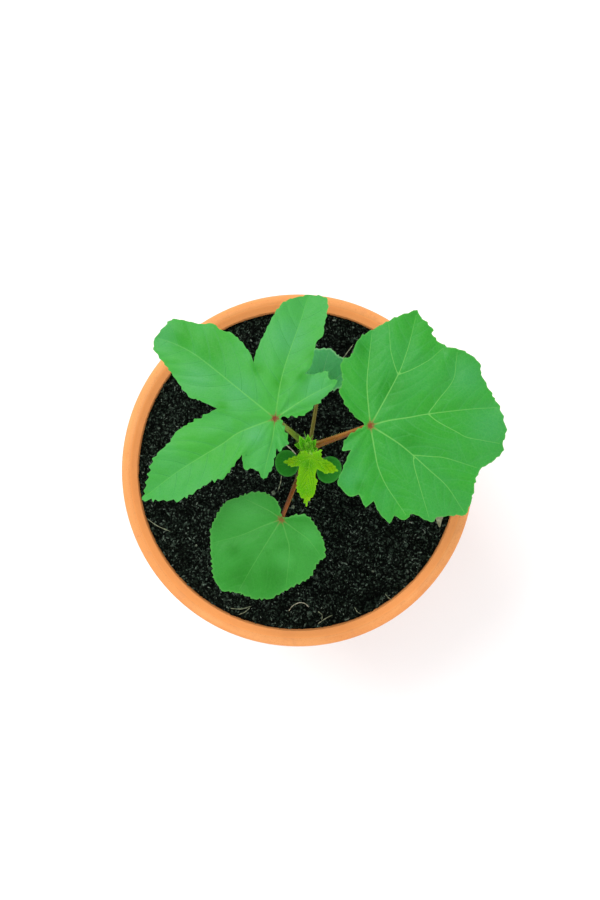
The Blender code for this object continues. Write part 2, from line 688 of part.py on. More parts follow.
def build_bud(group):
    """The shoot's tip: a turned core and folded bud leaves sunk into it, joined in one body."""
    outline = [(x * MM, z * MM) for x, z in reversed(BUD_PROFILE)]
    material = make_material("bud_green", BUD_GREEN, 0.5)
    core = add_object("crown_bud", profile_mesh("crown_bud", outline), group, material)
    turn(core, BUD_STEPS)
    core = apply_modifiers(core, group)
    core.location = BUD_BASE
    leaves = make_collection("bud_leaves")
    for number, (azimuth, lean, length, width) in enumerate(BUD_LEAVES):
        mesh = bpy.data.meshes.new(f"bud_leaf_{number}")
        body = bmesh.new()
        bmesh.ops.create_cone(
            body, cap_ends=True, segments=BUD_LEAF_SIDES, radius1=width * MM / 2,
            radius2=width * MM * BUD_LEAF_POINT, depth=length * MM,
            matrix=Matrix.Translation((0, 0, length * MM / 2)),
        )
        bmesh.ops.scale(body, vec=(BUD_LEAF_FLATNESS, 1, 1), verts=body.verts)
        body.to_mesh(mesh)
        body.free()
        petal = bpy.data.objects.new(f"bud_leaf_{number}", mesh)
        turned = Matrix.Rotation(math.radians(azimuth), 4, "Z") @ Matrix.Rotation(math.radians(lean), 4, "Y")
        height = (BUD_LEAF_LOWEST + BUD_LEAF_SPACING * number) * MM
        petal.matrix_world = Matrix.Translation(BUD_BASE + Vector((0, 0, height))) @ turned
        leaves.objects.link(petal)
    bpy.context.view_layer.update()
    union = core.modifiers.new("Bud leaves", "BOOLEAN")
    union.operation = "UNION"
    union.operand_type = "COLLECTION"
    union.solver = "EXACT"
    union.collection = leaves
    bpy.context.view_layer.update()
    joined = apply_modifiers(core, group)
    for item in list(leaves.objects):
        bpy.data.objects.remove(item)
    bpy.data.collections.remove(leaves)
    return joined


def main():
    clear_scene()
    parts = make_collection("potted_okra_plant")
    cutters = make_collection("cutters")
    build_pot(parts, cutters)
    build_soil(parts, cutters)
    build_stem(parts)
    seed_green = make_material("seed_leaf_green", SEED_GREEN, 0.5)
    for name, leaf in SEED_LEAVES.items():
        build_seed_leaf(name, leaf, parts, seed_green)
    for name, leaf in LEAVES.items():
        build_blade(name, leaf, parts)
        build_stalk(name, leaf, parts)
    build_bud(parts)


main()
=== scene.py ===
"""Fine form and finish of a potted okra plant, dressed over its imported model.

Metres, +Z up; the origin is the centre of the pot's flat underside.
Outlines, veins and paths are in millimetres, a leaf's from the point where the stalk meets its blade.
"""

import math

import bmesh
import bpy
import numpy as np
from mathutils import Matrix, Vector, kdtree, noise
from mathutils.geometry import delaunay_2d_cdt, interpolate_bezier


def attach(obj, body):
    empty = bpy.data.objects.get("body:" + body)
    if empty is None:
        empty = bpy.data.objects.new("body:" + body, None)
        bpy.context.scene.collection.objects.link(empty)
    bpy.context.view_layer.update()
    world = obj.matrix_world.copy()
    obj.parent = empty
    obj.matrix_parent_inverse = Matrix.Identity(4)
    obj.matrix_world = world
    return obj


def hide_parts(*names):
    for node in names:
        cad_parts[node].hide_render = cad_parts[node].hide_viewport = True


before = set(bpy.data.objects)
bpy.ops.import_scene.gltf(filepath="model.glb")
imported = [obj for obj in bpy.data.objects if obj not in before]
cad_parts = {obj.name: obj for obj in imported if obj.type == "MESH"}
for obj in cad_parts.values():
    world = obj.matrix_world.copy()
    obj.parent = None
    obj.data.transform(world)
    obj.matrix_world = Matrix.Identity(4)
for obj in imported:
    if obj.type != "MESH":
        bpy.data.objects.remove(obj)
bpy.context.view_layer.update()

MM = 0.001

# Camera and light
CAMERA_PLACE = (0.001545, 0.014059, 1.205)
CAMERA_LENS = 58.5
CAMERA_SENSOR = 36.0
SKY_COLOUR = (0.96, 0.98, 1.0)
SKY_STRENGTH = 1.0
# Each lamp: place, width in metres, watts
LAMPS = {
    "window_light": ((-0.9, 1.0, 2.2), 1.4, 34.0),
    "fill_light": ((1.3, -1.1, 2.0), 1.8, 6.0),
}
FLOOR_SIZE = 30.0
FLOOR_DROP = 0.0002
LAMP_AIM = Vector((0.0, 0.0, 0.2))
FLOOR_COLOURS = ((0.96, 0.96, 0.96), (0.98, 0.98, 0.98))

# Pot
POT_HEIGHT = 0.205
RIM_RADIUS = 0.1207
LIP_WIDTH = 0.0078
LIP_ROUND = 0.0028
COLLAR_HEIGHT = 0.040
COLLAR_TAPER = 0.0035
COLLAR_STEP = 0.0065
COLLAR_ROUND = 0.002
COLLAR_FILLET = 0.0030
BEVEL_FOOT = (0.1103, 0.2004)
BEVEL_ANGLE = 42
BEVEL_ROUND = 0.006
BASE_RADIUS = 0.074
WALL = 0.0085
FLOOR = 0.010
FLOOR_ROUND = 0.006
FOOT_ROUND = 0.003
BODY_TOP_RADIUS = RIM_RADIUS - COLLAR_TAPER - COLLAR_STEP
MOUTH_RADIUS = RIM_RADIUS - LIP_WIDTH
LIP_LEVEL = POT_HEIGHT - LIP_ROUND
INNER_HEIGHTS = (FLOOR, 0.160, 0.180, BEVEL_FOOT[1])
INNER_RADII = (BASE_RADIUS - WALL, BODY_TOP_RADIUS - WALL, 0.1082, BEVEL_FOOT[0])
POT_STEPS = 240
POT_WOBBLE = 0.00022
POT_WOBBLE_SCALE = 16
INNER_RINGS = (0.05, 0.1, 0.15, 0.160, 0.170, 0.180, 0.190)
LIP_DEPTH = 0.0008
CLAY_TURN = 0.0018
DAMP_RISE = 0.003
FOOT_BLOOM = 0.06
DRAIN_COUNT = 5
DRAIN_RADIUS = 0.0055
DRAIN_CIRCLE = 0.042
DRAIN_SIDES = 40
POT_CREASE = 40

# Soil
SOIL_TOP = 0.192
SOIL_GAP = 0.0002
SOIL_GRID = 272
SOIL_WALL_RINGS = 4
# Each layer of relief: size of its lumps in millimetres, and how high they stand
SOIL_LUMPS = ((11.0, 3.4), (4.8, 2.0), (1.9, 0.6))
SOIL_SWELL = ((38.0, 2.0),)
# Heights below and above the soil's level over which painted shade in its hollows fades out
SOIL_HOLLOWS = (-0.0024, 0.0009)
SOIL_EDGE_FADE = 0.007
SOIL_EDGE_RISE = 2.8
NOISE_SEED = 11
# The relief's lumps: their middle level, how far they wander, and the slices of noise that are used
LUMP_MIDDLE = 0.45
LUMP_WANDER = 0.35
LUMP_WANDER_SCALE = 1.7
LUMP_SLICE = 0.7
SWELL_SLICE = 0.3
# Each layer of crumbs: how many, smallest and largest radius in millimetres, ico-sphere subdivisions,
# the least and the most that each is stretched, and how steeply it may lie
CRUMB_LAYERS = {
    "soil_clods": (900, 1.1, 2.1, 2, (0.75, 0.7, 0.6), (1.3, 1.1, 0.9), 3.1),
    "soil_crumbs": (8200, 0.6, 1.3, 1, (0.8, 0.6, 0.5), (1.6, 1.0, 0.8), 3.1),
    "soil_flakes": (8200, 0.5, 1.05, 1, (1.3, 0.5, 0.3), (2.3, 0.9, 0.5), 0.6),
    "soil_grains": (5000, 0.35, 0.8, 1, (0.7, 0.7, 0.6), (1.3, 1.1, 0.9), 3.1),
}
CRUMB_ROUGHNESS = 0.55
CRUMB_NOISE = 900.0
CRUMB_SEED = 5
CRUMB_RARITY = 1.8
# Light flecks over the earth: painted glints, standing in for moist highlights
PAINTED_GLINT_COLOUR = (0.082, 0.122, 0.088)
# Painted shade on steep faces and in hollows
SHADOW_COLOUR = (0.0004, 0.0008, 0.0004)
# Darkest earth, in the pits of its fine bump: painted shade
PIT_SHADE_COLOUR = (0.001, 0.0016, 0.001)
# Earth colours by tone, from the commonest to the rarest
GROUND_TONES = ((0.0, (0.0006, 0.0012, 0.0006)), (0.7, (0.0016, 0.003, 0.0016)), (1.0, (0.01, 0.017, 0.011)))
CRUMB_TONES = (
    (0.0, (0.0008, 0.002, 0.0008)), (0.45, (0.003, 0.007, 0.0035)), (0.75, (0.015, 0.028, 0.018)),
    (0.93, (0.054, 0.082, 0.06)), (1.0, (0.12, 0.155, 0.12)),
)
FLAKE_TONES = (
    (0.0, (0.0008, 0.0026, 0.0008)), (0.4, (0.007, 0.015, 0.008)), (0.65, (0.04, 0.066, 0.044)),
    (0.88, (0.14, 0.195, 0.148)), (1.0, (0.28, 0.34, 0.27)),
)

# Litter on the soil: paths over it, each with its half thickness in millimetres
DRY_STALKS = (
    (((-8.8, 18.2), (-5.4, 15.4), (-1.2, 11.1)), 0.55),
    (((-6.3, -97.2), (-3.4, -93.6), (1.1, -91.4), (5.0, -92.1), (7.6, -94.5)), 0.34),
    (((47.0, 60.5), (51.0, 57.0), (58.0, 56.0)), 0.3),
)
FIBRES = (
    (((-11.2, -3.6), (-12.0, -9.0), (-13.7, -14.3)), 0.34),
    (((14.0, -106.0), (19.5, -102.2), (23.9, -100.0)), 0.38),
    (((14.0, -97.5), (16.8, -100.0), (16.5, -103.7)), 0.35),
    (((60.3, -85.2), (63.0, -88.2), (66.5, -89.2)), 0.38),
    (((39.3, -94.5), (41.0, -97.5), (43.7, -99.1)), 0.33),
    (((-46.4, -95.4), (-39.0, -95.8), (-32.3, -94.0)), 0.4),
    (((-33.2, -95.0), (-36.4, -97.8), (-40.6, -99.6)), 0.35),
    (((-104.0, -33.3), (-97.0, -38.2), (-88.1, -42.1)), 0.36),
    (((30.9, 77.2), (34.0, 81.2), (38.5, 87.3)), 0.42),
)
PALE_BITS = (
    (-16.7, -15.5, 1.5), (-3.3, -25.3, 1.2), (-19.0, 30.5, 0.8), (52.0, -70.0, 0.9), (-70.0, -52.0, 0.8),
)
PALE_BIT_LIFT = 0.9
PALE_BIT_LUMPS = 0.45
PALE_BIT_LUMP_SIZE = 1.1
SCRAP_OUTLINE = (
    (95.0, -25.0), (94.0, -29.5), (95.4, -34.0), (97.9, -39.4), (99.6, -34.2), (101.4, -29.0), (100.0, -25.2),
    (97.6, -23.6),
)
SCRAP_MIDRIB = ((97.8, -25.0), (97.3, -31.0), (97.9, -37.5))
SCRAP_GRAIN = 0.6
SCRAP_LIFT = 0.8
SCRAP_CURL = 0.11
SCRAP_WAVE = 0.5
SCRAP_HALF = 0.12
FIBRE_LIFT = 1.0
FIBRE_CLEAR = 0.4
FIBRE_ARCH = 0.5
FIBRE_END = 0.4
FIBRE_SIDES = 7

# Stem and the stalks that leave it
STEM_RADIUS = 0.0033
STEM_TOP_RADIUS = 0.0024
STEM_PATH = (
    (7.0, 1.6, 186), (7.0, 1.6, 192), (6.9, 4.2, 220), (6.8, 7.5, 247), (6.6, 11.8, 264), (6.4, 16.2, 278),
    (6.3, 18.0, 290),
)
STEM_FLARE = 0.35
STEM_FLARE_HEIGHT = 6.0
NODE_SWELL = 0.16
NODE_SPREAD = 2.6
MOST_SWELL = 1.5
STEM_STEPS = 14
TUBE_SIDES = 20
STALK_POINTS = 56
STALK_BEND = 0.35
STALK_FOOT_SWELL = 0.30
STALK_FOOT_LENGTH = 0.07
STALK_END_SWELL = 0.22
STALK_END_LENGTH = 0.08
# How far a stalk runs into the stem and into its blade's seat, in its own radii
STALK_ROOTS = (1.6, 0.8)
STALK_SEAT = (0.5, 0.25)
STALK_TIP = 0.6
CAD_BLADE = 0.0008
CAD_GAP = 0.0003

# Blades: their teeth, the spacing of their points, their thickness and relief
TOOTH_PEAK = 0.72
TOOTH_OUT = 0.55
TOOTH_IN = 0.45
TOOTH_SHARPNESS = 1.3
TOOTH_UNEVENNESS = 0.34
TOOTH_DEPTHS = (0.15, 1.55)
TOOTH_RUN = (-0.4, 0.0, 0.4)
EDGE_STEPS = 8
NOTCH_ROOM = 9.0
TIP_ROOM = 2.8
EDGE_STEP = 0.55
EDGE_CLEAR = 0.55
VEIN_MERGE = 0.42
FILL_CLEAR = 0.66
VEIN_CLEAR = 0.3
# A vein gets points along its sides where it is wide enough, away from the joint
SIDES_FROM = 0.4
JOINT_ROOM = 3.0
MOST_POINTS = 20000
SWELL_SHARPNESS = 2.5
VEIN_TAPER = 0.8
WAVE_START = 0.6
CALM_REACH = 2.0
RIPPLE_REACH = 0.8
BATCH = 1500
VEIN_END_ROOM = 1.2
VEIN_END_SHARE = 0.14
BRANCH_SHARE = 0.55
# How dark the painted shade in a leaf's folds and under the leaves above may get
PAINTED_SHADE_SHARE = 0.8
CAD_SWELL_REACH = 1.3
BLADE_THICKNESS = 0.42
RIM_THIN = 0.4
RIM_REACH = 1.3
RIB_GROOVE = 0.34
RIB_DEPTH = 1.15
QUILT_REACH = 1.5
BLADE_CREASE = 62
LONGEST_RIB = 90
BRANCHES_FROM = 5
VEIN_SPACING = 0.8
# How far from a vein is as good as no vein, in half widths of one
FAR = 50.0
# Side veins: their angle from the vein they leave, how they bend towards its tip, and their room;
# step and room are for a pitch of SIDE_UNIT, and each start is a side and the first place in pitches
SIDE_ANGLE = 54
SIDE_UNIT = 9.0
SIDE_STARTS = ((1, 0.75), (-1, 1.2))
SIDE_END_ROOM = 0.35
SIDE_EDGE_ROOM = 0.5
SIDE_UNEVENNESS = 0.12
SIDE_GROOVE = 0.8
SIDE_BEND = 3.0
SIDE_STEP = 1.5
SIDE_ROOM = 1.5
SIDE_LONGEST = 34
SIDE_HALF = (0.30, 0.11)

# Outlines: a point marked as tip or notch starts a stretch, and may give the size of its teeth
TIP = "tip"
NOTCH = "notch"
LEFT_EDGE = (
    (5, 1), (13, 1), (19, 3), (29, 12), (35, 18), (38, 23, TIP, 0.8), (32, 25), (32, 29), (24, 27),
    (18, 27, NOTCH, 0.55), (22, 32), (25, 46), (29, 50), (30, 57), (32, 66), (31, 74), (20, 76, TIP, 0.5),
    (7, 72), (1, 66), (-4, 57), (-11, 42), (-13, 34, NOTCH, 0.4), (-16, 41), (-25, 51), (-33, 54), (-38, 58),
    (-46, 58), (-62, 61), (-68, 56), (-74, 49, TIP, 0.5), (-74, 42), (-65, 30), (-53, 14), (-46, 11),
    (-35, 6, NOTCH, 1.0), (-43, 2), (-59, -7), (-65, -15), (-74, -24), (-78, -36), (-82, -50, TIP, 1.2),
    (-64, -50), (-56, -49), (-40, -39), (-31, -36), (-24, -27), (-20, -22, NOTCH, 0.8), (-19, -30),
    (-12, -31), (-7, -37, TIP), (-2, -31), (1, -18, NOTCH), (3, -20), (8, -14), (7, -9), (5, -4),
)
LEFT_VEINS = (
    ((0, 0), (3, 20), (6, 32), (10, 44), (15, 58), (19, 71)),
    ((0, 0), (-21, 17), (-42, 34), (-52, 41), (-62, 46), (-71, 49)),
    ((0, 0), (-21, -8), (-33, -16), (-59, -32), (-79, -47)),
    ((0, 0), (-1.5, -12), (-4.5, -24), (-7, -35)),
    ((0, 0), (18, 12), (35, 21)),
)
RIGHT_EDGE = (
    (-5, -1), (-9, -3), (-15, -8), (-17, -15), (-12, -15, NOTCH), (-14, -19), (-18, -29), (-20, -35),
    (-13, -43), (-7, -42, NOTCH), (-3, -50, TIP), (2, -46, NOTCH), (6, -54), (12, -60, TIP),
    (15, -55, NOTCH), (21, -58), (26, -54), (37, -59), (42, -56), (59, -55, TIP), (62, -48), (65, -33),
    (68, -27), (77, -21), (83, -15, TIP), (82, -11), (84, -3), (80, 11), (76, 18), (69, 31), (67, 39),
    (57, 46), (46, 49), (39, 55), (38, 60), (31, 67), (29, 71, TIP), (20, 68), (13, 65), (2, 59),
    (-6, 54), (-10, 47), (-12, 42), (-16, 41), (-18, 36), (-17, 26), (-19, 21), (-15, 12), (-10, 6),
    (-4, 1),
)
RIGHT_VEINS = (
    ((0, 0), (-2, 23), (-1, 38), (1, 55)),
    ((0, 0), (9, 16), (17, 31), (20, 38), (24, 50), (28, 66)),
    ((17, 31), (25, 34), (36, 40), (42, 45)),
    ((0, 0), (11, 3), (24, 5), (35, 7), (60, 10), (75, 11)),
    ((35, 7), (42, 16), (51, 28), (53, 40)),
    ((0, 0), (16, -10), (26, -18), (36, -27), (47, -37), (56, -50)),
    ((26, -18), (38, -19), (47, -20), (66, -26)),
    ((0, 0), (3, -17), (5, -26), (10, -37), (18, -49)),
)
RIGHT_BRANCHES = (
    ((17, 31), (14.7, 37.1), (12.6, 45.2), (12, 52.3)),
    ((35.4, 7), (41.6, 2.2), (52.4, -3.6), (59.5, -7.2), (71.1, -9.4)),
    ((26.4, -18), (26.8, -24.6), (30, -36.2), (33.5, -47.9)),
)
FRONT_EDGE = (
    (0, 3), (-1, 8), (-4, 13), (-11, 17), (-19, 17), (-27, 14), (-36, 10), (-44, -4), (-45, -13),
    (-44, -31), (-43, -38), (-38, -46, TIP), (-28, -47), (-17, -51, TIP), (-7, -51, TIP), (9, -42),
    (18, -37), (23, -28), (28, -24, TIP), (27, -15), (24, -8), (17, 2), (9, 3), (3, 1),
)
FRONT_VEINS = (
    ((0, 0), (-5, -8), (-16, -26), (-24, -40)),
    ((0, 0), (3, -10), (5, -20), (3, -42)),
    ((0, 0), (-11, -4), (-25, -10), (-39, -14)),
    ((0, 0), (8, -6), (17, -13), (24, -22)),
    ((0, 0), (-7, 5), (-19, 11)),
)
REAR_EDGE = (
    (4, 0), (10, 1), (16, 4), (20, 8), (22, 14), (18, 20), (12, 24), (8, 28, TIP), (2, 28), (-6, 27),
    (-12, 24, TIP), (-16, 17), (-15, 10), (-10, 4), (-4, 1),
)
REAR_VEINS = (
    ((0, 2), (3, 13), (6, 24)),
    ((0, 2), (-7, 11), (-10, 20)),
    ((0, 2), (9, 7), (18, 14)),
)
YOUNG_EDGE = (
    (-2, 1.5), (-5.5, 2.5), (-7, 0), (-12, -2), (-17, -4.5, TIP), (-12, -7.5), (-7, -7, NOTCH),
    (-7.5, -11), (-8.5, -17), (-8.2, -23), (-4.9, -27.5), (-2.5, -33, TIP), (-0.5, -28.5), (2.4, -25),
    (3.7, -19), (4.5, -16), (3, -14), (4, -9, NOTCH), (8, -11), (10, -12), (17.4, -10.4, TIP), (15, -7),
    (12, -4.5), (7, -2), (7, 0), (6, 3), (2, 1.5), (0, -0.5),
)
YOUNG_VEINS = (
    ((0, -2), (-1.5, -12), (-3, -22), (-2.5, -30)),
    ((0, -2), (7, -5.5), (15, -9)),
    ((0, -2), (-8, -4), (-14, -4.5)),
)

# Each leaf as it is in the imported model, with what its fine form adds.
# grain is the distance between a blade's points, rib the half width of a main vein at the joint;
# pleats are folds as start, end, depth and half width;
# Darker places of painted shade, in folds and under the leaves above, and bluer, lighter places of painted
# sheen, each as centre and radius.
LEAVES = {
    "rear": dict(
        node="leaf_rear", slot="blue_green", stalk_slot="olive_stalk", stem_height=258,
        joint=(13.4, 51.1, 271), lean=(0.0, 0.10), droop=6.0, edge=REAR_EDGE, veins=REAR_VEINS,
        branches=(), puff=0.8, wave=0.6, waves=7, pitch=4.0, tooth=1.0, reach=5.0,
        grain=0.6, rib=0.45, side_pitch=5.5, quilt=0.2, pleats=(), painted_shades=((4, 5, 5),),
        stalk=(1.5, 1.1), rise=18, end_rise=8, seed=3,
    ),
    "front": dict(
        node="leaf_front", slot="front_green", stalk_slot="red_stalk", stem_height=266,
        joint=(-10.2, -29.6, 283), lean=(0.0, 0.08), droop=1.2, edge=FRONT_EDGE, veins=FRONT_VEINS,
        branches=(), puff=1.3, wave=1.0, waves=9, pitch=3.8, tooth=1.1, reach=6.0,
        grain=0.7, rib=0.5, side_pitch=8.0, quilt=0.15, pleats=(((-25, -33), (-37, -46), 0.5, 3.0),),
        painted_shades=((-6, -36, 8), (-24, -38, 8), (-30, -20, 5)), painted_sheens=((-22, 6, 15), (18, -12, 9), (2, -26, 8)),
        stalk=(1.7, 1.3), rise=24, end_rise=10, seed=4,
    ),
    "right": dict(
        node="leaf_right", slot="leaf_green", stalk_slot="red_stalk", stem_height=275,
        joint=(44.4, 29.0, 314), lean=(-0.04, 0.0), droop=1.0, edge=RIGHT_EDGE, veins=RIGHT_VEINS,
        branches=RIGHT_BRANCHES, puff=1.8, wave=1.6, waves=11, pitch=6.0, tooth=0.8, reach=6.2,
        grain=0.85, rib=0.6, side_pitch=9.5, quilt=0.26,
        pleats=(((-7, -42), (-9, -27), 1.1, 2.2), ((-5, 53), (-4, 40), 0.7, 2.6)),
        painted_shades=((-4, 47, 5), (12, 22, 10), (-6, -37, 4), (24, -8, 9)),
        painted_sheens=((74, 0, 15), (60, 30, 13), (-12, -32, 9)),
        stalk=(2.3, 1.6), rise=40, end_rise=22, seed=6,
    ),
    "left": dict(
        node="leaf_left", slot="leaf_green", stalk_slot="olive_stalk", stem_height=282,
        joint=(-13.6, 33.2, 317), lean=(0.0, 0.0), droop=1.1, edge=LEFT_EDGE, veins=LEFT_VEINS,
        branches=(), puff=1.8, wave=1.6, waves=13, pitch=5.2, tooth=1.5, reach=6.2,
        grain=0.85, rib=0.6, side_pitch=12.0, quilt=0.34, pleats=(
            ((-13, 34), (-8, 23), 1.2, 1.6), ((-35, 6), (-29, 4), 0.8, 2.0), ((18, 27), (14, 22), 0.7, 1.8),
        ),
        painted_shades=((-11, 30, 4), (-32, 7, 4), (-38, 42, 11), (16, 25, 4), (24, 38, 5), (3, 22, 4), (-56, 50, 9)),
        painted_sheens=((-22, 16, 13), (-46, 26, 13), (7, 50, 15), (24, 20, 11), (-66, 50, 11), (-12, -10, 8)),
        stalk=(2.0, 1.5), rise=48, end_rise=35, seed=8,
    ),
    "young": dict(
        node="leaf_young", slot="lime_green", stalk_slot="olive_stalk", stem_height=286.5,
        joint=(8.0, 11.3, 300), lean=(0.0, 0.20), droop=6.0, edge=YOUNG_EDGE, veins=YOUNG_VEINS,
        branches=(), puff=1.0, wave=0.8, waves=7, pitch=3.0, tooth=1.1, reach=3.6,
        grain=0.42, rib=0.36, side_pitch=4.6, side_angle=30, quilt=0.9, pleats=(),
        painted_shades=((-1, -6, 4),), painted_sheens=((13, -9, 5), (-12, -4, 4), (-1, -28, 3)),
        stalk=(1.1, 0.9), rise=70, end_rise=40, seed=9,
    ),
}
DROOP_UNIT = 0.001

# Seed leaves
SEED_NODE = 249
SEED_LEAVES = {
    "left": dict(node="seed_leaf_left", centre=(-6.9, 5.4, 252), radius=8.2),
    "right": dict(node="seed_leaf_right", centre=(20.5, 1.2, 252), radius=8.4),
}
SEED_STALK_HALF = 1.1
SEED_POINTS = 120
SEED_GRAIN = 0.45
SEED_DISH = 0.9
SEED_OVAL = 0.06
SEED_STALK_SHARE = 0.6
SEED_THICKNESS = 0.7
SEED_STALK_THICKNESS = 1.5
# Half widths of a seed leaf's three veins, at start and end
SEED_RIBS = ((0.3, 0.12), (0.2, 0.1), (0.2, 0.1))
SEED_GROOVE = 0.25
SEED_RIM = 0.9
SEED_RIM_THIN = 0.08
SEED_SEAT = 0.4
# Radius in millimetres of the painted shadow of the crown near a seed leaf's stalk
SEED_SHADE = 6.0

# Tip of the shoot: folded bud leaves as foot, tip and width;
# the small edge and veins are theirs at full length
BUD_BASE = Vector((6.3, 18.0, 290.3))
BUD_PROFILE = ((0.0, 9.0), (0.9, 7.6), (1.7, 5.6), (2.3, 3.2), (2.5, 1.2), (2.3, -0.6), (0.0, -1.2))
BUD_LEAVES = (
    ((5.2, 14.0, 292.5), (1.2, 22.8, 297.5), 5.2),
    ((7.2, 14.0, 293.0), (6.4, 23.6, 299.0), 5.0),
    ((8.2, 16.2, 291.0), (11.6, 20.6, 295.0), 3.8),
    ((4.8, 15.8, 290.5), (-2.0, 17.4, 293.5), 4.6),
    ((6.4, 17.4, 293.0), (8.2, 19.6, 300.5), 3.2),
    ((5.0, 13.4, 290.0), (0.6, 11.8, 292.0), 3.2),
    ((8.8, 14.6, 290.0), (12.8, 14.8, 292.0), 3.2),
    ((6.4, 15.0, 293.0), (3.6, 10.6, 296.5), 3.6),
    ((7.6, 15.0, 293.5), (10.4, 11.2, 296.5), 3.4),
)
BUD_LENGTH = 10.5
BUD_EDGE = (
    (0, 0.6, TIP), (-1.5, 0.2), (-2.5, -1.8), (-2.9, -4.4), (-2.3, -7.2), (0, -10.5, TIP), (2.3, -7.2),
    (2.9, -4.4), (2.5, -1.8), (1.5, 0.2),
)
BUD_VEINS = (
    ((0, 0), (0, -5), (0, -9.8)),
    ((0, 0), (-1.5, -3), (-1.9, -6.4)),
    ((0, 0), (1.5, -3), (1.9, -6.4)),
)
BUD_LEAF = dict(
    edge=BUD_EDGE, veins=BUD_VEINS, branches=(), lean=(0.0, 0.0), droop=4.0, puff=0.3, wave=0.2, waves=5,
    pitch=1.8, tooth=0.45, reach=1.2, grain=0.26, rib=0.26, side_pitch=1.9, quilt=0.4, pleats=(),
    painted_shades=(), edge_step=0.3,
)
BUD_SEED = 20
BUD_WIDTH = 5.8
BUD_CORE_STEPS = 24
BUD_STALK_SIDES = 8
BUD_STALK_RADII = (0.6, 0.5, 0.4)
BUD_STALK_DROP = 1.5
BUD_FOLD = 0.5
# Stipules, narrow and pointed: azimuth, lean, length, height of their foot on the stem
STIPULES = (
    (105, 72, 7.5, 287), (170, 78, 6.5, 288), (140, 60, 7.0, 290), (60, 66, 6.0, 289), (15, 74, 6.5, 286),
    (350, 60, 5.5, 288), (215, 66, 6.5, 287), (262, 58, 6.0, 289), (40, 80, 6.5, 276), (335, 82, 6.0, 275),
    (125, 82, 6.0, 281), (190, 84, 5.5, 282), (225, 80, 5.5, 267), (262, 84, 5.0, 266),
)
STIPULE_HALF = 0.34
STIPULE_POINT = 0.03

# Hairs: how many for each square metre, shortest and longest in millimetres, and their draw's seed
STALK_HAIRS = (420000, 0.5, 1.3, 31)
BUD_HAIRS = (900000, 0.5, 1.4, 32)
HAIR_HALF = 0.035
HAIR_SIDES = 3
HAIR_TILT = 0.5
HAIR_POINT = 0.15

# Greens of a leaf as screen colours: the blade, its cooler and deeper patches (also used for painted sheen
# and painted shade), its veins and side veins (a dark side green is painted shade in the creases along them),
# the flush at its joint and its underside; then how strongly and widely each is laid on.
LEAF_TONES = ("lamina", "cool", "deep", "vein", "side", "flush", "underside")
LEAF_LOOK = dict(rib_share=0.75, side_share=0.4, side_width=1.5, edge_width=0.9, halo=0.28, shine=0.25)
LEAF_LOOKS = {
    "left": ("left_leaf_green", dict(
        lamina=(58, 149, 50), cool=(68, 150, 82), deep=(38, 134, 16), vein=(100, 176, 78), side=(28, 124, 14),
        flush=(108, 36, 14), underside=(92, 150, 76), rib_share=0.5, side_share=0.44, side_width=2.1,
        flush_share=1.0, edge_share=0.12,
    )),
    "right": ("right_leaf_green", dict(
        lamina=(44, 140, 38), cool=(55, 142, 68), deep=(26, 124, 14), vein=(112, 180, 86), side=(78, 158, 64),
        flush=(118, 56, 24), underside=(88, 144, 72), rib_share=0.62, side_share=0.22, flush_share=1.0,
        edge_share=0.25,
    )),
    "front": ("front_leaf_green", dict(
        lamina=(39, 126, 33), cool=(59, 145, 58), deep=(28, 115, 20), vein=(86, 158, 70), side=(58, 138, 52),
        flush=(118, 56, 24), underside=(88, 146, 72), rib_share=0.5, side_share=0.1, flush_share=0.75,
        edge_share=0.4, edge_width=1.3, halo=0.08,
    )),
    "rear": ("rear_leaf_green", dict(
        lamina=(77, 171, 92), cool=(71, 167, 104), deep=(58, 156, 56), vein=(130, 196, 130),
        side=(96, 176, 106), flush=(96, 66, 28), underside=(100, 156, 96), rib_share=0.5, side_share=0.2,
        flush_share=0.3, edge_share=0.95, edge_width=1.5,
    )),
    "young": ("young_leaf_lime", dict(
        lamina=(86, 160, 0), cool=(120, 168, 4), deep=(54, 132, 0), vein=(124, 184, 18), side=(52, 130, 0),
        flush=(104, 160, 30), underside=(112, 164, 56), rib_share=0.4, side_share=0.6, side_width=6.0,
        shine=0.1, flush_share=0.4, edge_share=0.4, edge_width=1.3,
    )),
    "seed": ("seed_leaf_dark", dict(
        lamina=(40, 136, 28), cool=(50, 144, 50), deep=(12, 92, 6), vein=(74, 160, 64), side=(24, 110, 20),
        flush=(56, 148, 50), underside=(60, 120, 50), rib_share=0.4, side_share=0.0, shine=0.15,
        flush_share=0.0, edge_share=0.6, edge_width=1.6,
    )),
    "bud": ("bud_leaf_green", dict(
        lamina=(88, 184, 18), cool=(106, 196, 34), deep=(50, 140, 2), vein=(142, 210, 66), side=(40, 122, 0),
        flush=(130, 200, 66), underside=(92, 164, 40), rib_share=0.5, side_share=0.7, side_width=5.0,
        shine=0.1, flush_share=0.0, edge_share=0.7,
    )),
}
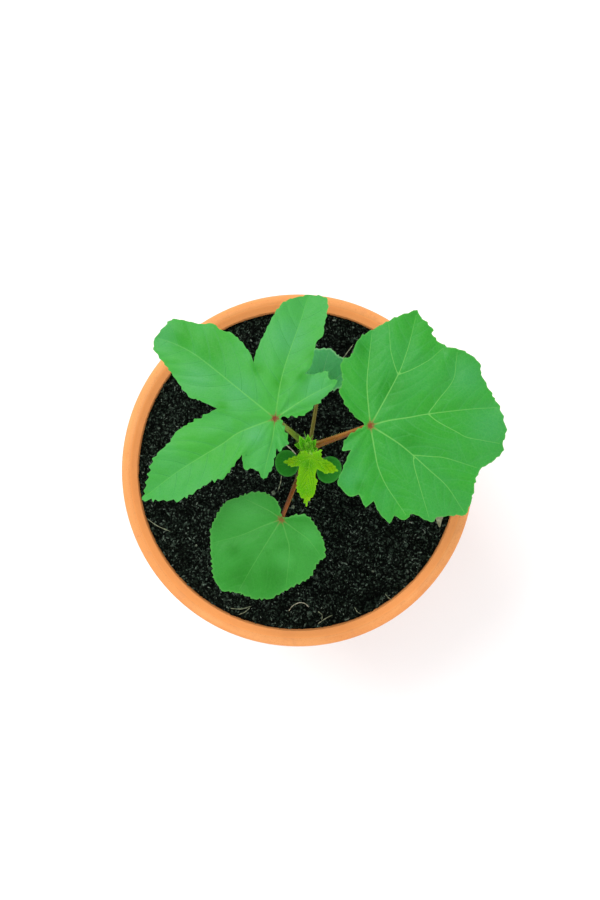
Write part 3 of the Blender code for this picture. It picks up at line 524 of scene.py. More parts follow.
# Colours along a stalk from its foot to its end, and its streaks, whose colour also paints a highlight along
# one side, all as screen colours
OLIVE, GOLD, RED, GREEN, BROWN = (98, 108, 18), (158, 104, 26), (108, 56, 12), (74, 116, 20), (90, 38, 8)
MOTTLE_COLOUR = (0.03, 0.02, 0.004)
STALK_LOOKS = {
    "stem": ("stem_green", (
        (0.0, (92, 84, 46)), (0.12, (112, 110, 46)), (0.5, (96, 124, 44)), (1.0, GREEN),
    ), (140, 84, 44)),
    "right": ("right_stalk_red", (
        (0.0, OLIVE), (0.09, (140, 96, 16)), (0.3, (130, 74, 12)), (0.75, RED), (1.0, BROWN),
    ), GOLD),
    "front": ("front_stalk_red", (
        (0.0, (80, 92, 16)), (0.35, (82, 66, 14)), (0.65, (92, 46, 10)), (0.9, (94, 46, 10)),
        (1.0, (100, 70, 16)),
    ), (150, 82, 20)),
    "left": ("left_stalk_olive", (
        (0.0, GREEN), (0.5, (98, 128, 26)), (0.85, (110, 126, 30)), (1.0, BROWN),
    ), (124, 146, 46)),
    "rear": ("rear_stalk_olive", (
        (0.0, GREEN), (0.2, (104, 100, 26)), (0.8, (126, 108, 36)), (1.0, OLIVE),
    ), (134, 124, 52)),
    "young": ("young_stalk_green", ((0.0, (90, 160, 24)), (1.0, (120, 190, 40))), (140, 200, 70)),
}


def srgb(red, green, blue):
    """A screen colour, 0 to 255, as the linear colour that shaders take."""
    return tuple((value / 255.0) ** 2.2 for value in (red, green, blue))


# Shader building

class Tree:
    """A node tree, whose inputs take a link, a colour or a plain value."""

    def __init__(self, tree):
        self.tree = tree

    def feed(self, socket, value):
        if isinstance(value, bpy.types.NodeSocket):
            self.tree.links.new(value, socket)
        elif socket.type == "RGBA":
            socket.default_value = (*value, 1.0)
        else:
            socket.default_value = value

    def add(self, kind, inputs, **settings):
        """A node with its settings, its inputs given by name or number."""
        made = self.tree.nodes.new(kind)
        for name, value in settings.items():
            setattr(made, name, value)
        for socket, value in inputs.items():
            self.feed(made.inputs[socket], value)
        return made

    def calculate(self, operation, *values):
        return self.add("ShaderNodeMath", dict(enumerate(values)), operation=operation).outputs[0]

    def vector(self, operation, inputs):
        return self.add("ShaderNodeVectorMath", inputs, operation=operation).outputs[0]


class Finish(Tree):
    """A material whose colour is painted on in layers."""

    def __init__(self, name, roughness, specular):
        self.material = bpy.data.materials.new(name)
        self.material.use_nodes = True
        super().__init__(self.material.node_tree)
        self.shader = self.tree.nodes["Principled BSDF"].inputs
        self.place = self.add("ShaderNodeTexCoord", {}).outputs["Object"]
        self.colour = None
        self.feed(self.shader["Roughness"], roughness)
        self.feed(self.shader["Specular IOR Level"], specular)

    def fade(self, value, low, high, at_low=0.0, at_high=1.0):
        """A smooth step of a value from one level to another."""
        return self.add("ShaderNodeMapRange", {
            "Value": value, "From Min": low, "From Max": high, "To Min": at_low, "To Max": at_high,
        }, interpolation_type="SMOOTHSTEP").outputs["Result"]

    def noise(self, scale, detail=3.0, roughness=0.55, place=None):
        """Fine noise, on the object's own coordinates unless a place is given."""
        inputs = {"Vector": place or self.place, "Scale": scale, "Detail": detail, "Roughness": roughness}
        return self.add("ShaderNodeTexNoise", inputs).outputs[0]

    def cell_borders(self, scale, wander=0.0):
        """Distance to the borders of small cells, as between the finest veins."""
        place = self.place
        if wander:
            shift = self.add("ShaderNodeTexNoise", {"Vector": place, "Scale": scale * 0.5}).outputs["Color"]
            place = self.vector("MULTIPLY_ADD", {0: shift, 1: (wander, wander, wander), 2: place})
        inputs = {"Vector": place, "Scale": scale}
        return self.add("ShaderNodeTexVoronoi", inputs, feature="DISTANCE_TO_EDGE").outputs["Distance"]

    def measure(self, name):
        """A value that the mesh carries at its points."""
        return self.add("ShaderNodeAttribute", {}, attribute_name=name).outputs["Fac"]

    def split(self, vector):
        return self.add("ShaderNodeSeparateXYZ", {0: vector}).outputs

    def blend(self, share, first, second):
        return self.add("ShaderNodeMix", {0: share, 6: first, 7: second}, data_type="RGBA").outputs[2]

    def paint(self, share, colour):
        """Lay a share of a colour over what is painted so far."""
        self.colour = self.blend(share, self.colour, colour)

    def paint_part(self, share, most, colour):
        self.paint(self.calculate("MULTIPLY", share, most), colour)

    def paint_ramp(self, value, stops):
        """Start the colour as a ramp, its stops given as place and colour."""
        made = self.add("ShaderNodeValToRGB", {0: value})
        elements = made.color_ramp.elements
        while len(elements) < len(stops):
            elements.new(0.5)
        for element, (place, colour) in zip(elements, stops):
            element.position = place
            element.color = (*colour, 1.0)
        self.colour = made.outputs[0]

    def raise_surface(self, *layers):
        """Chain bumps, each as height, strength and distance."""
        below = {}
        for height, strength, distance in layers:
            inputs = {"Height": height, "Strength": strength, "Distance": distance, **below}
            below = {"Normal": self.add("ShaderNodeBump", inputs).outputs["Normal"]}
        self.feed(self.shader["Normal"], below["Normal"])

    def let_light_in(self, weight, radius, scale):
        self.feed(self.shader["Subsurface Weight"], weight)
        self.feed(self.shader["Subsurface Radius"], radius)
        self.feed(self.shader["Subsurface Scale"], scale)

    def done(self, *roughness):
        """The material, with its colour and perhaps a pattern of roughness joined up."""
        self.feed(self.shader["Base Color"], self.colour)
        for pattern in roughness:
            self.feed(self.shader["Roughness"], pattern)
        return self.material


def clay_finish():
    """Fired clay: cloudy orange with fine grain, turning lines and dark specks, paler at its foot; its inside
    wall is painted lighter, painted light against the shade it stands in, and darkened by damp just above the
    soil.
    """
    clay = Finish("fired_clay", 0.8, 0.25)
    x, y, height = clay.split(clay.place)
    squares = clay.calculate("ADD", clay.calculate("POWER", x, 2.0), clay.calculate("POWER", y, 2.0))
    turn = clay.calculate("MULTIPLY", clay.calculate("ARCTAN2", y, x), CLAY_TURN)
    turned = clay.add("ShaderNodeCombineXYZ", {0: clay.calculate("SQRT", squares), 1: turn, 2: height})
    lines = clay.noise(900, place=turned.outputs[0])
    bands = clay.noise(330, 2.0, place=turned.outputs[0])
    clouds, grain, blotches = clay.noise(22, 4.0), clay.noise(1500, 2.0), clay.noise(130)
    specks = clay.add("ShaderNodeTexVoronoi", {"Vector": clay.place, "Scale": 420}).outputs
    clay.colour = clay.blend(clay.fade(clouds, 0.35, 0.65), srgb(226, 146, 84), srgb(233, 157, 96))
    clay.paint(clay.fade(blotches, 0.5, 0.66, 0.0, 0.45), srgb(214, 140, 88))
    clay.paint(clay.fade(bands, 0.42, 0.66, 0.0, 0.18), srgb(212, 128, 66))
    clay.paint(clay.fade(lines, 0.4, 0.7, 0.0, 0.22), srgb(236, 166, 110))
    clay.paint(clay.fade(grain, 0.52, 0.72, 0.0, 0.5), srgb(203, 122, 68))
    rare = clay.fade(specks["Color"], 0.25, 0.3, 1.0, 0.0)
    clay.paint_part(clay.fade(specks["Distance"], 0.08, 0.16, 0.45, 0.0), rare, srgb(150, 84, 50))
    inner = clay.measure("inner")
    # The inside wall painted lighter: painted light against the shade it stands in
    clay.paint_part(inner, 0.6, srgb(246, 154, 86))
    clay.paint_part(inner, clay.fade(height, SOIL_TOP, SOIL_TOP + DAMP_RISE, 0.35, 0.0), srgb(150, 88, 52))
    clay.paint_part(clay.fade(height, 0.0, FOOT_BLOOM, 0.5, 0.0), clouds, srgb(236, 190, 150))
    clay.raise_surface((lines, 0.12, 0.0004), (grain, 0.3, 0.0003))
    return clay.done(clay.fade(clouds, 0.2, 0.8, 0.7, 0.88))


def earth_finish(name, stops, glint):
    """Moist potting soil: nearly black, with grey-green crumbs and small moist glints from its shine; light
    flecks are painted glints, and its pits, steep faces and hollows get painted shade.
    """
    earth = Finish(name, 0.6, glint)
    fine, glint_flecks = earth.noise(1100, 4.0, 0.65), earth.noise(620, 3.0, 0.6)
    patches = earth.fade(earth.noise(260), 0.4, 0.8, -0.05, 0.12)
    earth.paint_ramp(earth.calculate("ADD", earth.measure("tone"), patches), stops)
    # Darker where the fine bump is low: painted shade in its pits
    earth.paint(earth.fade(fine, 0.35, 0.7, 0.75, 0.0), PIT_SHADE_COLOUR)
    # Light flecks painted on as glints: painted highlight
    earth.paint(earth.fade(glint_flecks, 0.56, 0.68, 0.0, 0.6), PAINTED_GLINT_COLOUR)
    # Steep faces and low hollows painted dark: painted shade where less light falls
    upright = earth.split(earth.add("ShaderNodeNewGeometry", {}).outputs["Normal"])["Z"]
    low, high = (SOIL_TOP + level for level in SOIL_HOLLOWS)
    steep = earth.fade(upright, 0.2, 0.95, 0.9, 0.0)
    deep = earth.fade(earth.split(earth.place)["Z"], low, high, 0.88, 0.0)
    earth.paint(earth.calculate("MAXIMUM", steep, deep), SHADOW_COLOUR)
    earth.raise_surface((fine, 0.7, 0.0006))
    return earth.done(earth.fade(fine, 0.35, 0.7, 0.7, 0.36))


def leaf_finish(name, look):
    """A living leaf: two greens in soft patches, pale veins, fine net, red joint and a paler underside, with
    painted shade, painted sheen and a painted highlight on its rim.
    """
    look = {**LEAF_LOOK, **look}
    lamina, cool, deep, vein, side_green, flush, underside = (srgb(*look[tone]) for tone in LEAF_TONES)
    green = Finish(name, 0.5, look["shine"])
    cells = green.noise(1300, 3.0, 0.6)
    net = green.fade(green.cell_borders(430, 0.0012), 0.0, 0.16, 1.0, 0.0)
    finest = green.fade(green.cell_borders(1500), 0.0, 0.2)
    rib = green.fade(green.measure("rib"), 0.35, 1.35, 1.0, 0.0)
    side = green.fade(green.measure("side"), 0.2, look["side_width"], 1.0, 0.0)
    clouds = green.fade(green.noise(34), 0.38, 0.62, 0.0, 0.45)
    # Cooler patches: random ones of the leaf's own green, and painted sheen at the listed places
    green.colour = green.blend(green.calculate("MAXIMUM", clouds, green.measure("painted_sheen")), lamina, cool)
    # Painted shade: darker places in folds and under the leaves and crown above
    green.paint(green.measure("painted_shade"), deep)
    green.paint(green.fade(green.measure("side"), 0.5, 7.0, look["halo"], 0.0), cool)
    green.paint(green.fade(cells, 0.45, 0.75, 0.0, 0.25), deep)
    green.paint_part(net, 0.05, vein)
    # A paler margin: partly the leaf's own, partly a painted highlight where its rim catches the light
    green.paint(green.fade(green.measure("edge"), 0.15, look["edge_width"], look["edge_share"], 0.0), vein)
    # Along the side veins: their pale colour, or for some leaves a darker green that is painted shade in
    # their creases
    green.paint_part(side, look["side_share"], side_green)
    green.paint_part(rib, look["rib_share"], vein)
    heart = green.measure("heart")
    uneven = green.calculate("ADD", heart, green.fade(cells, 0.3, 0.7, -0.9, 0.9))
    green.paint_part(green.fade(uneven, 1.0, 3.0, 0.95, 0.0), look["flush_share"], flush)
    streak = green.calculate("MULTIPLY", green.fade(heart, 2.0, 6.5, 0.5, 0.0), rib)
    green.paint_part(streak, look["flush_share"], flush)
    green.paint(green.measure("below"), green.blend(green.calculate("MAXIMUM", rib, side), underside, vein))
    green.raise_surface((net, 0.2, -0.00025), (finest, 0.18, 0.00012), (cells, 0.15, 0.0002))
    green.let_light_in(0.12, (0.6, 1.0, 0.25), 0.0006)
    return green.done(green.fade(cells, 0.3, 0.7, 0.44, 0.58))


def stalk_finish(name, stops, streak):
    """A stalk whose colour runs along it, with fine streaks, a painted highlight along one side, dark
    mottling and a soft shine.
    """
    stalk = Finish(name, 0.45, 0.28)
    along, around = stalk.measure("along"), stalk.measure("around")
    run = {0: stalk.calculate("MULTIPLY", along, 2.0), 1: stalk.calculate("MULTIPLY", around, 9.0)}
    streaks = stalk.noise(2.2, place=stalk.add("ShaderNodeCombineXYZ", run).outputs[0])
    mottle = stalk.noise(520)
    stalk.paint_ramp(along, [(place, srgb(*colour)) for place, colour in stops])
    stalk.paint(stalk.fade(streaks, 0.42, 0.72, 0.0, 0.5), srgb(*streak))
    # One side painted lighter in the streak colour: painted highlight where light falls along the stalk
    stalk.paint(stalk.fade(around, 0.25, 0.75, 0.6, 0.0), srgb(*streak))
    stalk.paint(stalk.fade(mottle, 0.5, 0.8, 0.0, 0.35), MOTTLE_COLOUR)
    stalk.raise_surface((streaks, 0.35, 0.0003), (mottle, 0.2, 0.0002))
    stalk.let_light_in(0.1, (1.0, 0.6, 0.3), 0.0008)
    return stalk.done(stalk.fade(mottle, 0.3, 0.7, 0.36, 0.55))


def plain_finish(name, first, second, scale, roughness, specular=0.3, depth=0.0002):
    """Two screen colours in fine patches with a fine bump, for litter and hairs."""
    plain = Finish(name, roughness, specular)
    patches = plain.noise(scale)
    plain.colour = plain.blend(plain.fade(patches, 0.35, 0.65), srgb(*first), srgb(*second))
    plain.raise_surface((patches, 0.5, depth))
    return plain.done()


def floor_finish():
    floor = Finish("studio_floor", 0.9, 0.1)
    floor.colour = floor.blend(floor.noise(3.0, 2.0), *FLOOR_COLOURS)
    return floor.done()


# Mesh building

def new_object(name, data):
    """A linked object that holds the data."""
    item = bpy.data.objects.new(name, data)
    bpy.context.scene.collection.objects.link(item)
    return item


def add_object(name, mesh, material):
    item = new_object(name, mesh)
    mesh.materials.clear()
    mesh.materials.append(material)
    return item


def finish_piece(item, slot, *nodes):
    """Have a piece ride on the plant's one body, and hide the nodes that it replaces. The slot is not used.
    """
    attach(item, "root")
    if nodes:
        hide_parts(*nodes)


def mesh_from(name, verts, faces, values=None):
    """A smooth-shaded mesh with the values its material reads at each point."""
    mesh = bpy.data.meshes.new(name)
    mesh.from_pydata([tuple(vert) for vert in verts], [], [tuple(face) for face in faces])
    for label, numbers in (values or {}).items():
        layer = mesh.attributes.new(label, "FLOAT", "POINT")
        layer.data.foreach_set("value", np.asarray(numbers, dtype=np.float32))
    mesh.shade_smooth()
    return mesh


def plain_mesh(item):
    """Replace an object's modifiers by the mesh that they make."""
    evaluated = item.evaluated_get(bpy.context.evaluated_depsgraph_get())
    mesh = bpy.data.meshes.new_from_object(evaluated)
    item.modifiers.clear()
    item.data = mesh
    return mesh


def arc(centre_x, centre_z, radius, start, end, count):
    """Points on a round corner of a profile, angles in degrees from +X."""
    angles = np.radians(np.linspace(start, end, count))
    return list(zip(centre_x + radius * np.cos(angles), centre_z + radius * np.sin(angles)))


def between(start, end, count):
    """Points on a straight stretch of a profile, without its ends."""
    return [tuple(point) for point in np.linspace(start, end, count + 2)[1:-1]]


def turned_mesh(name, points, steps):
    """A closed body turned from a half section that starts and ends on the axis."""
    first, *rings, last = points
    turns = [math.tau * step / steps for step in range(steps)]
    verts = [(0.0, 0.0, first[1])]
    verts += [(x * math.cos(turn), x * math.sin(turn), z) for x, z in rings for turn in turns]
    verts.append((0.0, 0.0, last[1]))
    end = len(verts) - 1
    low = end - steps
    faces = []
    for step in range(steps):
        after = (step + 1) % steps
        faces += [(1 + step, 1 + after, 0), (end, low + after, low + step)]
        for ring in range(1, low, steps):
            faces.append((ring + steps + step, ring + steps + after, ring + after, ring + step))
    return mesh_from(name, verts, faces)


def wall_radius_outside(height):
    return BASE_RADIUS + (BODY_TOP_RADIUS - BASE_RADIUS) * height / (POT_HEIGHT - COLLAR_HEIGHT)


def inner_radius(height):
    return float(np.interp(height, INNER_HEIGHTS, INNER_RADII))


def lip_bevel():
    """Sloped inside of the lip, from its foot over a small rounding to its top."""
    angle = math.radians(BEVEL_ANGLE)
    centre_z = POT_HEIGHT - BEVEL_ROUND
    top_z = centre_z + BEVEL_ROUND * math.cos(angle)
    top_x = BEVEL_FOOT[0] + (top_z - BEVEL_FOOT[1]) / math.tan(angle)
    corner = arc(top_x + BEVEL_ROUND * math.sin(angle), centre_z, BEVEL_ROUND, 90 + BEVEL_ANGLE, 90, 12)
    return [BEVEL_FOOT] + between(BEVEL_FOOT, corner[0], 2) + corner


def pot_profile():
    """Half section of the pot, from the inside centre over the lip and down the outside."""
    collar_base = POT_HEIGHT - COLLAR_HEIGHT
    collar_foot = RIM_RADIUS - COLLAR_TAPER
    drains = (DRAIN_CIRCLE - 2 * DRAIN_RADIUS, DRAIN_CIRCLE + 2 * DRAIN_RADIUS)
    floor_corner = FLOOR + FLOOR_ROUND
    bevel = lip_bevel()
    lip_edge = (RIM_RADIUS - LIP_ROUND, POT_HEIGHT)
    body_top = collar_base - 2 * COLLAR_FILLET
    top = (wall_radius_outside(body_top), body_top)
    foot = arc(wall_radius_outside(FOOT_ROUND) - FOOT_ROUND, FOOT_ROUND, FOOT_ROUND, 0, -90, 7)
    points = [(0.0, FLOOR), (drains[0], FLOOR), (drains[1], FLOOR)]
    points += arc(inner_radius(floor_corner) - FLOOR_ROUND, floor_corner, FLOOR_ROUND, -90, 0, 7)
    points += [(inner_radius(height), height) for height in INNER_RINGS]
    points += bevel + between(bevel[-1], lip_edge, 2)
    points += arc(lip_edge[0], LIP_LEVEL, LIP_ROUND, 90, 0, 9)
    points += between((RIM_RADIUS, LIP_LEVEL), (collar_foot, collar_base + COLLAR_ROUND), 5)
    points += arc(collar_foot - COLLAR_ROUND, collar_base + COLLAR_ROUND, COLLAR_ROUND, 0, -90, 7)
    points += arc(BODY_TOP_RADIUS + COLLAR_FILLET, collar_base - COLLAR_FILLET, COLLAR_FILLET, 90, 180, 6)
    points += [top] + between(top, foot[0], 10) + foot
    return points + [(drains[1], 0.0), (drains[0], 0.0), (0.0, 0.0)]


def drain_cutters():
    """Five upright pegs, as one mesh, where the drainage holes are."""
    mesh = bpy.data.meshes.new("drain_pegs")
    pegs = bmesh.new()
    for number in range(DRAIN_COUNT):
        angle = math.tau * number / DRAIN_COUNT
        centre = (DRAIN_CIRCLE * math.cos(angle), DRAIN_CIRCLE * math.sin(angle), FLOOR / 2)
        bmesh.ops.create_cone(
            pegs, cap_ends=True, segments=DRAIN_SIDES, radius1=DRAIN_RADIUS, radius2=DRAIN_RADIUS,
            depth=3 * FLOOR, matrix=Matrix.Translation(centre),
        )
    pegs.to_mesh(mesh)
    pegs.free()
    return mesh


def make_pot():
    """The pot, turned with a slight unevenness of the hand, and pierced in its floor."""
    mesh = turned_mesh("clay_pot", pot_profile(), POT_STEPS)
    for vert in mesh.vertices:
        reach = math.hypot(vert.co.x, vert.co.y)
        if reach < 1e-6 or vert.co.z < FOOT_ROUND:
            continue
        wobble = POT_WOBBLE * noise.noise(vert.co * POT_WOBBLE_SCALE)
        vert.co.x *= 1 + wobble / reach
        vert.co.y *= 1 + wobble / reach
        vert.co.z += 0.5 * wobble
    pot = add_object("clay_pot", mesh, clay_finish())
    pegs = new_object("drain_pegs", drain_cutters())
    cut = pot.modifiers.new("Drain holes", "BOOLEAN")
    cut.solver = "EXACT"
    cut.object = pegs
    mesh = plain_mesh(pot)
    bpy.data.objects.remove(pegs)
    mesh.shade_smooth()
    mesh.set_sharp_from_angle(angle=math.radians(POT_CREASE))
    middle = MOUTH_RADIUS + 0.25 * LIP_WIDTH
    places = [(math.hypot(vert.co.x, vert.co.y), vert.co.z) for vert in mesh.vertices]
    inner = [float(reach < middle and FLOOR / 2 < z < POT_HEIGHT - LIP_DEPTH) for reach, z in places]
    mesh.attributes.new("inner", "FLOAT", "POINT").data.foreach_set("value", inner)
    finish_piece(pot, "clay", "pot")


def soil_relief(x, y, edge):
    """Height of the soil's surface over its level, calmer where it meets the pot."""
    height = 0.0
    for size, rise in SOIL_SWELL:
        height += rise * noise.noise(Vector((x, y, SWELL_SLICE)) / (size * MM))
    for size, rise in SOIL_LUMPS:
        wander = noise.noise_vector(Vector((x, y, LUMP_SLICE)) / (size * MM) * LUMP_WANDER_SCALE)
        near = noise.voronoi(Vector((x, y, 0.0)) / (size * MM) + wander * LUMP_WANDER)[0][0]
        height += rise * (LUMP_MIDDLE - near * near)
    room = min(1.0, max(0.0, (edge - math.hypot(x, y)) / SOIL_EDGE_FADE))
    return (height * (0.5 + 0.5 * room) + SOIL_EDGE_RISE * (1 - room) ** 2) * MM


def soil_top(edge):
    """An even grid squeezed into a disc: its points, its faces, and the ring of points round its edge."""
    side = np.linspace(-1.0, 1.0, SOIL_GRID + 1)
    across, up = np.meshgrid(side, side)
    x = (edge * across * np.sqrt(1 - up * up / 2)).ravel()
    y = (edge * up * np.sqrt(1 - across * across / 2)).ravel()
    points = [(px, py, SOIL_TOP + soil_relief(px, py, edge)) for px, py in zip(x, y)]
    grid = np.arange(len(points)).reshape(SOIL_GRID + 1, SOIL_GRID + 1)
    faces = np.stack((grid[:-1, :-1], grid[:-1, 1:], grid[1:, 1:], grid[1:, :-1]), axis=-1).reshape(-1, 4)
    ring = (*grid[0, :-1], *grid[:-1, -1], *grid[-1, :0:-1], *grid[:0:-1, 0])
    return points, [tuple(face) for face in faces.tolist()], [int(index) for index in ring]


def make_soil(earth):
    """The soil's body, from its lumpy top down the inside of the pot; gives a mesh of its top."""
    points, faces, ring = soil_top(inner_radius(SOIL_TOP) - SOIL_GAP)
    surface = mesh_from("soil_surface", points, faces)
    for height in np.linspace(SOIL_TOP, FLOOR + SOIL_GAP, SOIL_WALL_RINGS + 1)[1:]:
        radius = inner_radius(height) - SOIL_GAP
        if height < FLOOR + FLOOR_ROUND:
            radius -= FLOOR_ROUND
        lower = list(range(len(points), len(points) + len(ring)))
        for index in ring:
            x, y, _ = points[index]
            share = radius / math.hypot(x, y)
            points.append((x * share, y * share, height))
        faces += zip(ring, lower, lower[1:] + lower[:1], ring[1:] + ring[:1])
        ring = lower
    faces += [(after, index, len(points)) for index, after in zip(ring, ring[1:] + ring[:1])]
    points.append((0.0, 0.0, FLOOR + SOIL_GAP))
    finish_piece(add_object("potting_soil", mesh_from("potting_soil", points, faces), earth), "earth", "soil")
    return surface


# Geometry node trees

class Growth(Tree):
    """A geometry tree that takes a surface and named sizes, and gives what grows on it."""

    def __init__(self, name, inputs):
        super().__init__(bpy.data.node_groups.new(name, "GeometryNodeTree"))
        sockets = self.tree.interface
        inputs = {"Surface": "Geometry", "Density": "Float", **inputs, "Seed": "Int", "Material": "Material"}
        for label, kind in inputs.items():
            sockets.new_socket(label, in_out="INPUT", socket_type=f"NodeSocket{kind}")
        sockets.new_socket("Pieces", in_out="OUTPUT", socket_type="NodeSocketGeometry")
        self.given = self.tree.nodes.new("NodeGroupInput").outputs
        self.taken = self.tree.nodes.new("NodeGroupOutput").inputs

    def random(self, low, high, seed, vector=False):
        """A random number between two limits, or a vector of them."""
        kind, first, output = ("FLOAT_VECTOR", 0, 0) if vector else ("FLOAT", 2, 1)
        inputs = {first: low, first + 1: high, "Seed": seed}
        return self.add("FunctionNodeRandomValue", inputs, data_type=kind).outputs[output]

    def scatter(self):
        """Points strewn over the surface."""
        given = self.given
        inputs = {"Mesh": given["Surface"], "Density": given["Density"], "Seed": given["Seed"]}
        return self.add("GeometryNodeDistributePointsOnFaces", inputs).outputs

    def place(self, points, item, rotation, scale):
        inputs = {"Points": points["Points"], "Instance": item, "Rotation": rotation, "Scale": scale}
        return self.add("GeometryNodeInstanceOnPoints", inputs).outputs[0]

    def realize(self, pieces):
        return self.add("GeometryNodeRealizeInstances", {0: pieces}).outputs[0]

    def done(self, pieces):
        """The tree, with its pieces given their material."""
        inputs = {"Geometry": pieces, "Material": self.given["Material"]}
        self.feed(self.taken[0], self.add("GeometryNodeSetMaterial", inputs).outputs[0])
        return self.tree


def crumb_tree():
    """Crumbs strewn over a surface: ico-spheres of random size and tone, roughened by noise."""
    crumbs = Growth("Soil crumbs", {
        "Smallest": "Float", "Largest": "Float", "Subdivisions": "Int", "Least stretch": "Vector",
        "Most stretch": "Vector", "Most turn": "Vector", "Roughness": "Float",
    })
    given = crumbs.given
    ball = crumbs.add("GeometryNodeMeshIcoSphere", {"Radius": 1.0, "Subdivisions": given["Subdivisions"]})
    share = crumbs.calculate("POWER", crumbs.random(0.0, 1.0, 1), CRUMB_RARITY)
    span = crumbs.calculate("SUBTRACT", given["Largest"], given["Smallest"])
    radius = crumbs.calculate("MULTIPLY_ADD", share, span, given["Smallest"])
    stretch = crumbs.random(given["Least stretch"], given["Most stretch"], 2, vector=True)
    shape = crumbs.vector("SCALE", {0: stretch, "Scale": radius})
    turn = crumbs.random((0.0, 0.0, 0.0), given["Most turn"], 3, vector=True)
    placed = crumbs.place(crumbs.scatter(), ball.outputs["Mesh"], turn, shape)
    toned = crumbs.add("GeometryNodeStoreNamedAttribute", {
        "Geometry": placed, "Name": "tone", "Value": crumbs.random(0.0, 1.0, 4),
    }, data_type="FLOAT", domain="INSTANCE")
    rough = crumbs.add("ShaderNodeTexNoise", {"Scale": CRUMB_NOISE, "Detail": 1.0}).outputs["Color"]
    push = crumbs.vector("SCALE", {
        0: crumbs.vector("SUBTRACT", {0: rough, 1: (0.5, 0.5, 0.5)}),
        "Scale": crumbs.calculate("MULTIPLY", given["Largest"], given["Roughness"]),
    })
    loose = crumbs.realize(toned.outputs[0])
    return crumbs.done(crumbs.add("GeometryNodeSetPosition", {"Geometry": loose, "Offset": push}).outputs[0])


def hair_tree():
    """Fine tapering hairs standing on a surface, each a little tilted."""
    hairs = Growth("Fine hairs", {
        "Shortest": "Float", "Longest": "Float", "Half thickness": "Float", "Tilt": "Float",
    })
    given = hairs.given
    points = hairs.scatter()
    cone = {"Vertices": HAIR_SIDES, "Radius Top": HAIR_POINT, "Radius Bottom": 1.0, "Depth": 1.0}
    hair = hairs.add("GeometryNodeMeshCone", cone, fill_type="NONE")
    length = hairs.random(given["Shortest"], given["Longest"], 1)
    half = given["Half thickness"]
    shape = hairs.add("ShaderNodeCombineXYZ", {0: half, 1: half, 2: length})
    lean = hairs.random((-1.0, -1.0, -1.0), (1.0, 1.0, 1.0), 2, vector=True)
    tilt = hairs.vector("SCALE", {0: lean, "Scale": given["Tilt"]})
    turned = hairs.add("FunctionNodeRotateRotation", {0: points["Rotation"], 1: tilt})
    placed = hairs.place(points, hair.outputs["Mesh"], turned.outputs[0], shape.outputs[0])
    return hairs.done(hairs.realize(placed))


def grow_on(name, surface, tree, settings, slot):
    """Grow a tree's pieces on a surface and keep them as a plain mesh of their own."""
    item = add_object(name, surface, settings["Material"])
    grown = item.modifiers.new("Grow", "NODES")
    grown.node_group = tree
    for socket in tree.interface.items_tree:
        if socket.in_out == "INPUT" and socket.name in settings:
            grown[socket.identifier] = settings[socket.name]
    mesh = plain_mesh(item)
    mesh.name = name
    mesh.shade_smooth()
    finish_piece(item, slot)
    return mesh


def strew_crumbs(surface, finishes):
    """Each layer of crumbs, with flat faces as broken earth has."""
    tree = crumb_tree()
    area = math.pi * inner_radius(SOIL_TOP) ** 2
    for number, (name, layer) in enumerate(CRUMB_LAYERS.items()):
        count, smallest, largest, subdivisions, least, most, turn = layer
        grow_on(name, surface.copy(), tree, {
            "Density": count / area, "Smallest": smallest * MM, "Largest": largest * MM,
            "Subdivisions": subdivisions, "Least stretch": least, "Most stretch": most,
            "Most turn": (turn, turn, math.tau), "Roughness": CRUMB_ROUGHNESS, "Seed": CRUMB_SEED + number,
            "Material": finishes[name],
        }, "earth").shade_flat()


# Tubes: stem, stalks, stipules and fibres

def smooth_path(points, per_span):
    """A smooth chain through the given points, open at both ends."""
    points = [np.array(point[:], dtype=float) for point in points]
    padded = [2 * points[0] - points[1], *points, 2 * points[-1] - points[-2]]
    path = []
    for index in range(len(points) - 1):
        before, start, end, after = padded[index:index + 4]
        for step in range(per_span):
            t = step / per_span
            path.append(0.5 * (
                2 * start + (end - before) * t + (2 * before - 5 * start + 4 * end - after) * t ** 2
                + (3 * start - before - 3 * end + after) * t ** 3
            ))
    path.append(points[-1])
    return path


def tube_parts(points, radii, sides):
    """Points, faces and the run along and around of a closed tapering tube."""
    points = [Vector(point) for point in points]
    lengths = np.concatenate(([0.0], np.cumsum([(b - a).length for a, b in zip(points, points[1:])])))
    rings = len(points)
    verts, faces, side = [], [], None
    for number, (point, radius) in enumerate(zip(points, radii)):
        run = (points[min(number + 1, rings - 1)] - points[max(number - 1, 0)]).normalized()
        if side is None:
            side = run.cross(Vector((0, 0, 1)))
            if side.length < 0.1:
                side = run.cross(Vector((0, 1, 0)))
        side = (side - run * side.dot(run)).normalized()
        up = side.cross(run)
        for step in range(sides):
            angle = math.tau * step / sides
            verts.append(point + (side * math.cos(angle) + up * math.sin(angle)) * radius)
    last = (rings - 1) * sides
    turns = [(step, (step + 1) % sides) for step in range(sides)]
    for ring in range(0, last, sides):
        above = ring + sides
        faces += [(ring + step, above + step, above + after, ring + after) for step, after in turns]
    for step, after in turns:
        faces += [(step, after, len(verts)), (last + after, last + step, len(verts) + 1)]
    along = [*np.repeat(lengths / lengths[-1], sides), 0.0, 1.0]
    around = [*np.tile(np.abs(1 - 2 * np.arange(sides) / sides), rings), 0.5, 0.5]
    return [*verts, points[0], points[-1]], faces, along, around


